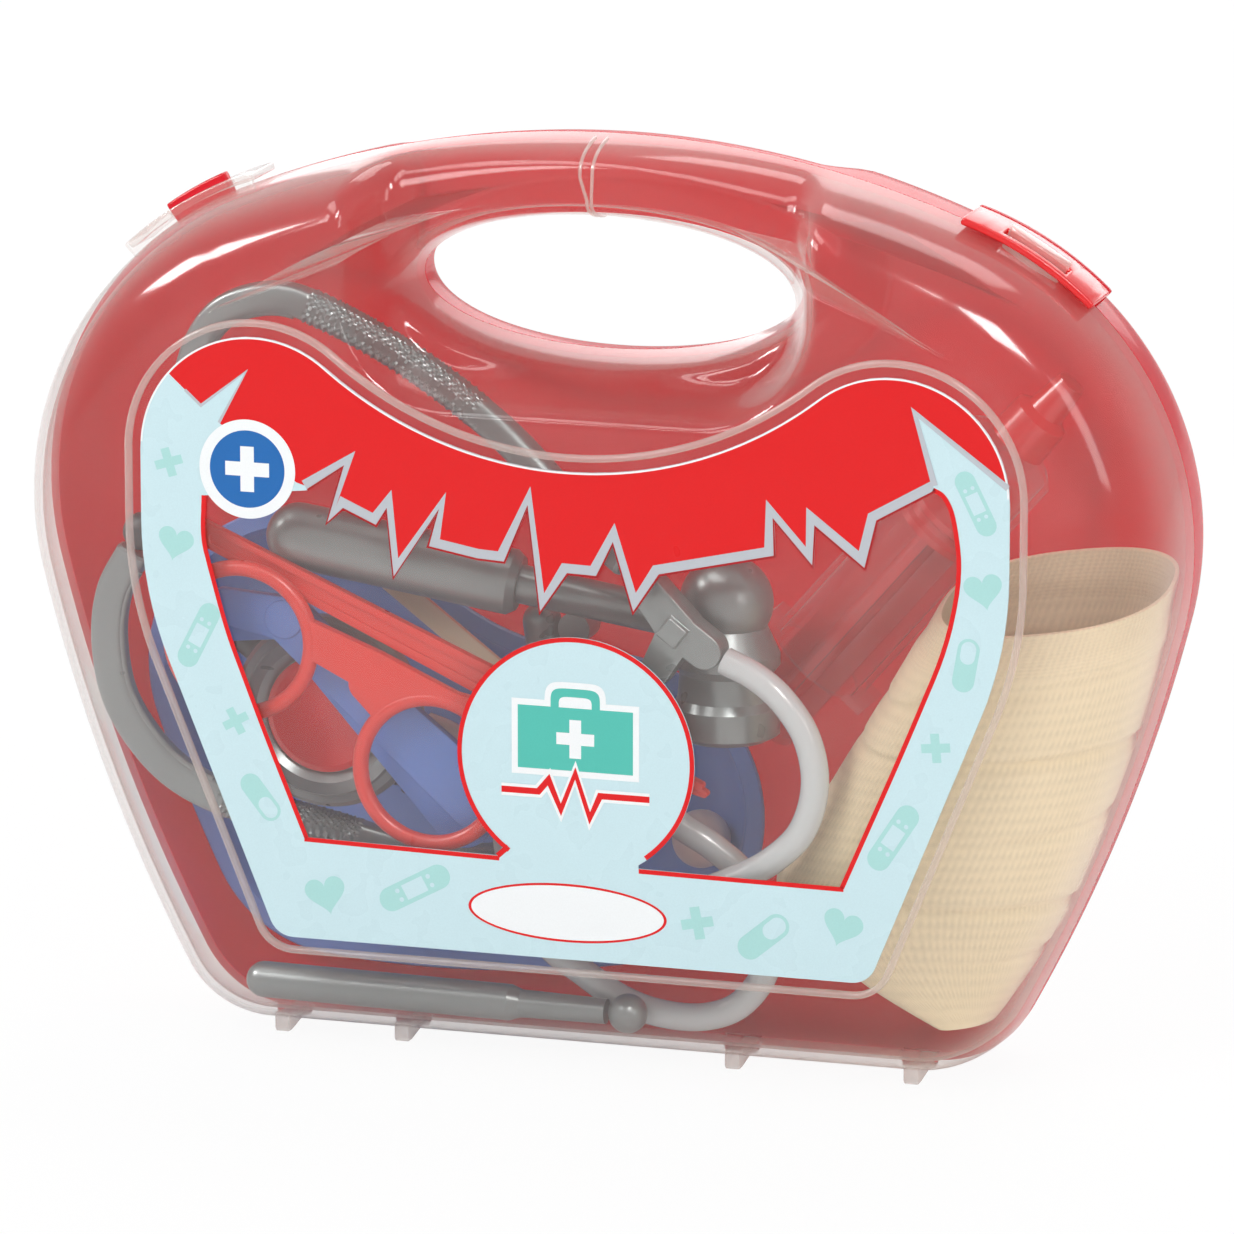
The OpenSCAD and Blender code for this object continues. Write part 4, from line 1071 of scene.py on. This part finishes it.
def arm_outline(path, half_wide, height, start, end):
    """Outline round an arm at each point of its path: a squarish power curve, and between two
    distances along the path rows of small round knobs, a product of two waves raised to a power."""
    run = way_along(path)[:, None]
    half_deep, sides = 3.3, 96
    c, s = wave_power(np.arange(sides)[None] / sides * 2 * math.pi, 0.5)
    row, column = run * math.pi / 1.9, (c * half_deep + s * half_wide) * math.pi / 1.6
    knob = np.abs(np.sin(row) * np.sin(column)) ** 3 + np.abs(np.cos(row) * np.cos(column)) ** 3
    inside = smooth((run - start) / 0.6) * smooth((end - run) / 0.6)
    grow = inside * (height * knob - 0.35)
    ends = 0.6 * (1 - smooth(np.minimum(run, run[-1] - run) / 0.6))
    return np.stack([c * (half_deep + grow - ends), s * (half_wide + grow - ends)], -1)


def inner_lip(path, half_wide, start, end, material):
    """A slim rounded lip along the inside of an arm's bend, on its front half."""
    _, a, b = carried_frames(path)
    run = way_along(path)
    inwards = np.sign(((path.mean(0) - path) * b).sum(1).mean())
    lip = path + inwards * (half_wide - 0.6) * b - 1.6 * a * np.sign(a[:, 1:2])
    return tube("lip", lip[(run > start) & (run < end)], 1.1, material, 16)


class TOYCASE_OT_headset(bpy.types.Operator):
    """The two headset arms with their knurled stretches, the yoke and the ear tips"""
    bl_idname = "toycase.headset"
    bl_label = "Headset"

    def execute(self, context):
        grey, knob = shared("grey_plastic"), context.scene.toy_case_sizes.knurl / MM
        for node, points, wide, start, end in (("upper_arm", UPPER_ARM, 3.7, 44, 93),
                                               ("lower_arm", LOWER_ARM, 4.1, 72, 108)):
            path = smooth_path(points, 40)
            made = joined(node + "_band", [
                carried("band", path, arm_outline(path, wide, knob, start, end), grey),
                inner_lip(path, wide, 3, start - 2, grey)])
            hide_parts(node)
            rides(made, "case_back")
        yoke = softened("yoke", grey, 0.9, "headset_yoke")
        rides(yoke, "case_back")
        painted(["upper_ear_tip", "lower_ear_tip"], shared("dark_plastic"))
        return {"FINISHED"}


class TOYCASE_OT_chest(bpy.types.Operator):
    """The chest piece and its centre disc"""
    bl_idname = "toycase.chest"
    bl_label = "Chest piece"

    def execute(self, context):
        painted(["chest_body"], shared("grey_plastic"))
        painted(["chest_disc"], shared("red_plastic"))
        return {"FINISHED"}


# ---------- play instruments ----------
class TOYCASE_OT_scissors(bpy.types.Operator):
    """The two scissor halves, with rounded edges"""
    bl_idname = "toycase.scissors"
    bl_label = "Scissors"

    def execute(self, context):
        for node, body in (("scissor_loops", "case_back"), ("scissor_bar", "scissors_arm")):
            made = softened(node, shared("coral_plastic"), 0.7, node + "_half")
            rides(made, body)
        return {"FINISHED"}


class TOYCASE_OT_forceps(bpy.types.Operator):
    """The two forceps arms, with rounded edges"""
    bl_idname = "toycase.forceps"
    bl_label = "Forceps"

    def execute(self, context):
        for node, body in (("forceps_front", "case_back"), ("forceps_rear", "forceps_arm")):
            made = softened(node, shared("blue_plastic"), 0.7, node + "_arm")
            rides(made, body)
        return {"FINISHED"}


class TOYCASE_OT_hammer(bpy.types.Operator):
    """The reflex hammer"""
    bl_idname = "toycase.hammer"
    bl_label = "Reflex hammer"

    def execute(self, context):
        painted(["hammer_handle", "hammer_head"], shared("grey_plastic"))
        return {"FINISHED"}


class TOYCASE_OT_syringe(bpy.types.Operator):
    """The clear syringe with its red plunger and cap"""
    bl_idname = "toycase.syringe"
    bl_label = "Syringe"

    def execute(self, context):
        painted(["syringe_barrel"], shared("clear_rigid"))
        painted(["syringe_cap", "syringe_plunger"], shared("red_plastic"))
        return {"FINISHED"}


class TOYCASE_OT_small_tools(bpy.types.Operator):
    """Pen torch, spatula, otoscope, thermometer and bulb"""
    bl_idname = "toycase.small_tools"
    bl_label = "Small instruments"

    def execute(self, context):
        painted(["torch_body"], shared("dark_plastic"))
        painted(["torch_tip", "spatula"], shared("cream_plastic"))
        painted(["otoscope_body", "otoscope_lamp", "thermometer_body", "thermometer_tip"],
                shared("grey_plastic"))
        painted(["rubber_bulb"], shared("bulb_rubber"))
        return {"FINISHED"}


def dish_line(k):
    """Stations round the kidney dish: three lobes, two long flanks between them, and a waist."""
    upper, upper_r, lower, lower_r, right, right_r = (-81, 79), 40.0, (-73, 43), 33.5, (-5, 51), 38.0
    belly_r, waist_r = 260.0, 60.0
    flank = meet(upper, SIDE_R - upper_r, lower, SIDE_R - lower_r, 1)
    belly = meet(lower, belly_r - lower_r, right, belly_r - right_r, 1)
    waist = meet(upper, waist_r + upper_r, right, waist_r + right_r, 1)
    flank_a, end_a = heading(flank, upper) % 360, heading(flank, lower) % 360
    return np.vstack([
        arc(flank, SIDE_R, flank_a, end_a, 5 * k),
        arc(lower, lower_r, end_a, heading(belly, lower) % 360, 8 * k),
        arc(belly, belly_r, heading(belly, lower), heading(belly, right), 6 * k),
        arc(right, right_r, heading(belly, right), heading(right, waist), 14 * k),
        arc(waist, -waist_r, heading(waist, right) + 180, heading(waist, upper) + 180, 8 * k),
        arc(upper, upper_r, heading(upper, waist), flank_a, 14 * k)])


class TOYCASE_OT_dish(bpy.types.Operator):
    """The kidney dish that lies at the back"""
    bl_idname = "toycase.dish"
    bl_label = "Kidney dish"

    def execute(self, context):
        play, deep = 0.3, 17
        back = SHELL_D - WALL - play
        front = back - deep
        rings = [(18, back), (15.6, back - 0.2), (13, back - 1), (10.2, back - 2.8), (8, back - 5),
                 (5.6, back - 8), (4.4, back - 11), (3.2, front + 1.6), (0.3, front + 1.4), (0, front + 1.0),
                 (0, front + 0.4), (0.4, front), (4.2, front), (4.8, front + 0.6), (6, back - 11),
                 (7.4, back - 8.4), (9.6, back - 6), (12, back - 4), (14, back - 2.6), (16.5, back - 1.8),
                 (19, back - 1.6)]
        line = dish_line(4)
        grid = [at_depth(at(line, inset), y) for inset, y in rings]
        made = surface("dish_tray", grid, shared("blue_plastic"), wrap_v=True, caps=True, sharp=40)
        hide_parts("kidney_dish")
        rides(made, "case_back")
        return {"FINISHED"}


def sleeve_ring(k, inset):
    """One ring of the cloth sleeve at share k of its height: a power-curve oval between the slanted
    left edge and the case wall, with soft creases that run round it and a ribbed hem."""
    side = case_side()
    foot_top = FOOT_R + FOOT_R * math.sin(math.radians(heading(side, FOOT_C)))
    z = 11 + 101 * k
    left = 43 + 0.032 * (46 - z) ** 2 if z < 46 else 43 + 0.58 * (z - 46)
    centre, radius = (side, SIDE_R) if z > foot_top else (FOOT_C, FOOT_R)
    wall = centre[0] + math.sqrt(radius ** 2 - (z - centre[1]) ** 2)
    right = wall - WALL - 0.9 - 0.14 * max(0, 40 - z)
    deep = 7 + 13.5 * smooth((z - 2) / 60)
    n = 240
    a = -np.arange(n) / n * 2 * math.pi
    u, v = wave_power(a, 2 / 2.4)
    hem = float(smooth((k - 0.925) / 0.02))
    rib = hem * 0.22 * np.abs(np.sin(60 * a)) * (1 if k < 0.995 else 0.3)
    fold = np.zeros(n)
    for height, depth, tilt, phase in ((26, 1.5, 0.10, 0.3), (43, 1.7, -0.07, 1.9), (60, 1.4, 0.05, 0.9),
                                       (80, 1.6, -0.04, 2.6), (96, 1.0, 0.08, 4.0)):
        off = (z - height - tilt * 90 * (u * 0.4) - 1.5 * np.sin(2 * a + phase)) / 1.6
        off = np.where(off > 0, off * 2.2, off * 0.7)
        fold += depth * np.exp(-off ** 2) * (0.6 + 0.4 * np.sin(a + phase))
    drop = inset + fold * (1 - hem) - rib + 0.35 * hem - 0.45 * float(smooth((0.93 - k) / 0.03))
    x = (left + right) / 2 + u * ((right - left) / 2 - drop)
    y = -3 + 5 * u + v * (deep - drop)
    return np.column_stack([x, y, z + k * k * (4 + 0.3 * y + 0.06 * (x - 105))])


class TOYCASE_OT_sleeve(bpy.types.Operator):
    """The cloth bandage sleeve, a ribbed stretch tube with a hem"""
    bl_idname = "toycase.sleeve"
    bl_label = "Bandage sleeve"

    def execute(self, context):
        thick = context.scene.toy_case_sizes.cloth / MM
        share = np.unique(np.concatenate([np.linspace(0, 1, 110), np.linspace(0.9, 1, 30)]))
        outer = np.array([sleeve_ring(k, 0.5) for k in share])
        inner = np.array([sleeve_ring(k, 0.5 + thick) for k in share[::-1]])
        made = surface("bandage_tube", np.vstack([outer, inner]), shared("stretch_cloth"), wrap_u=True,
                       wrap_v=True, sharp=70)
        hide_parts("bandage_sleeve")
        rides(made, "case_back")
        return {"FINISHED"}


# ---------- stage ----------
def lamp(name, place, power, size, aim=(0, 0, 0.1)):
    """A flat lamp that faces its aim."""
    data = bpy.data.lights.new(name, "AREA")
    data.shape, data.size, data.size_y, data.energy = "RECTANGLE", size[0], size[1], power
    made = bpy.data.objects.new(name, data)
    made.location = place
    made.rotation_euler = (Vector(aim) - Vector(place)).to_track_quat("-Z", "Y").to_euler()
    bpy.context.scene.collection.objects.link(made)
    return made


def white_floor():
    """A wide floor that the camera sees as nearly plain white, with only faint shadows."""
    reach = 4000
    paint = Paint("white_floor")
    white = paint.node("Emission", None, {"Color": (1, 1, 1), "Strength": 1.0})
    matte = paint.solid({"Base Color": (0.86, 0.86, 0.86), "Roughness": 0.7})
    material = paint.done(paint.mix(paint.node("LightPath") * 0.93, matte, white))
    grid = [[(-reach, z, -AXIS_H), (reach, z, -AXIS_H)] for z in (-reach, reach)]
    floor = surface("floor", grid, material, flat=True)
    if floor.data.polygons[0].normal[2] < 0:
        floor.data.flip_normals()
    return floor


def white_room():
    """Even light from all sides, which the camera sees as white."""
    world = bpy.data.worlds.new("white_room")
    world.use_nodes = True
    tree = world.node_tree
    tree.nodes.clear()
    kinds = ("LightPath", "OutputWorld", "MixShader", "Background", "Background")
    path, out, mix, room, seen = (tree.nodes.new("ShaderNode" + kind) for kind in kinds)
    for node, strength in ((room, 0.7), (seen, 1.0)):
        node.inputs["Strength"].default_value = strength
        node.inputs["Color"].default_value = (1, 1, 1, 1)
    tree.links.new(path.outputs["Is Camera Ray"], mix.inputs[0])
    tree.links.new(room.outputs[0], mix.inputs[1])
    tree.links.new(seen.outputs[0], mix.inputs[2])
    tree.links.new(mix.outputs[0], out.inputs[0])
    return world


def photo_camera(look):
    """The camera: a long lens, turned and raised about the middle of the case."""
    data = bpy.data.cameras.new("camera")
    data.lens, data.sensor_width = 292.5, 36
    data.clip_start, data.clip_end = 0.1, 30
    camera = bpy.data.objects.new("camera", data)
    a, e = look.azimuth, look.elevation
    back = Vector((math.sin(a) * math.cos(e), -math.cos(a) * math.cos(e), math.sin(e)))
    camera.location = Vector((0.001, 0, 0.1032)) + back * look.distance
    camera.rotation_euler = (-back).to_track_quat("-Z", "Y").to_euler()
    bpy.context.scene.collection.objects.link(camera)
    return camera


class TOYCASE_OT_stage(bpy.types.Operator):
    """White floor, soft lamps and the camera"""
    bl_idname = "toycase.stage"
    bl_label = "Stage"

    def execute(self, context):
        scene, look = context.scene, context.scene.toy_case_stage
        white_floor()
        lamp("key_lamp", (-1.1, -1.5, 1.7), look.key, (0.9, 0.7))
        lamp("fill_lamp", (1.7, -1.1, 0.9), look.fill, (0.5, 1.0))
        lamp("top_lamp", (0.2, 0.9, 1.8), look.fill, (1.2, 0.5))
        lamp("back_lamp", (-0.3, 2.0, 0.9), look.back, (1.6, 1.2))
        for name, place, size, share in (("left_softbox", (-1.52, -0.66, 1.2), (0.55, 0.45), 1.0),
                                         ("right_softbox", (0.76, -1.2, 1.46), (0.45, 0.5), 1.0),
                                         ("overhead_softbox", (-0.5, -0.62, 1.8), (1.5, 0.45), 0.5)):
            lamp(name, place, look.shine * share, size, (0, 0, 0.15)).visible_diffuse = False
        scene.world = white_room()
        scene.camera = photo_camera(look)
        scene.view_settings.view_transform = "Standard"
        scene.cycles.transparent_max_bounces = 24
        return {"FINISHED"}


OPERATORS = (TOYCASE_OT_stage, TOYCASE_OT_hose, TOYCASE_OT_shells, TOYCASE_OT_latches, TOYCASE_OT_card,
             TOYCASE_OT_headset, TOYCASE_OT_chest, TOYCASE_OT_scissors, TOYCASE_OT_forceps,
             TOYCASE_OT_hammer, TOYCASE_OT_syringe, TOYCASE_OT_small_tools, TOYCASE_OT_dish,
             TOYCASE_OT_sleeve)


class TOYCASE_PT_panel(bpy.types.Panel):
    """Lists the case's builders"""
    bl_idname = "TOYCASE_PT_panel"
    bl_label = "Toy case"
    bl_space_type = "VIEW_3D"
    bl_region_type = "UI"
    bl_category = "Toy case"

    def draw(self, context):
        for operator in OPERATORS:
            self.layout.operator(operator.bl_idname)
        for group in (context.scene.toy_case_colours, context.scene.toy_case_sizes,
                      context.scene.toy_case_stage):
            for key in group.__annotations__:
                self.layout.prop(group, key)


GROUPS = {"toy_case_colours": ToyCaseColours, "toy_case_sizes": ToyCaseSizes, "toy_case_stage": ToyCaseStage}


def register():
    for name, group in GROUPS.items():
        bpy.utils.register_class(group)
        setattr(bpy.types.Scene, name, bpy.props.PointerProperty(type=group))
    for cls in (*OPERATORS, TOYCASE_PT_panel):
        bpy.utils.register_class(cls)


def unregister():
    for cls in (TOYCASE_PT_panel, *reversed(OPERATORS)):
        bpy.utils.unregister_class(cls)
    for name, group in GROUPS.items():
        delattr(bpy.types.Scene, name)
        bpy.utils.unregister_class(group)


def main():
    """Registers the add-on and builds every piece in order."""
    register()
    for operator in OPERATORS:
        group, name = operator.bl_idname.split(".")
        getattr(getattr(bpy.ops, group), name)()


if __name__ == "__main__":
    main()
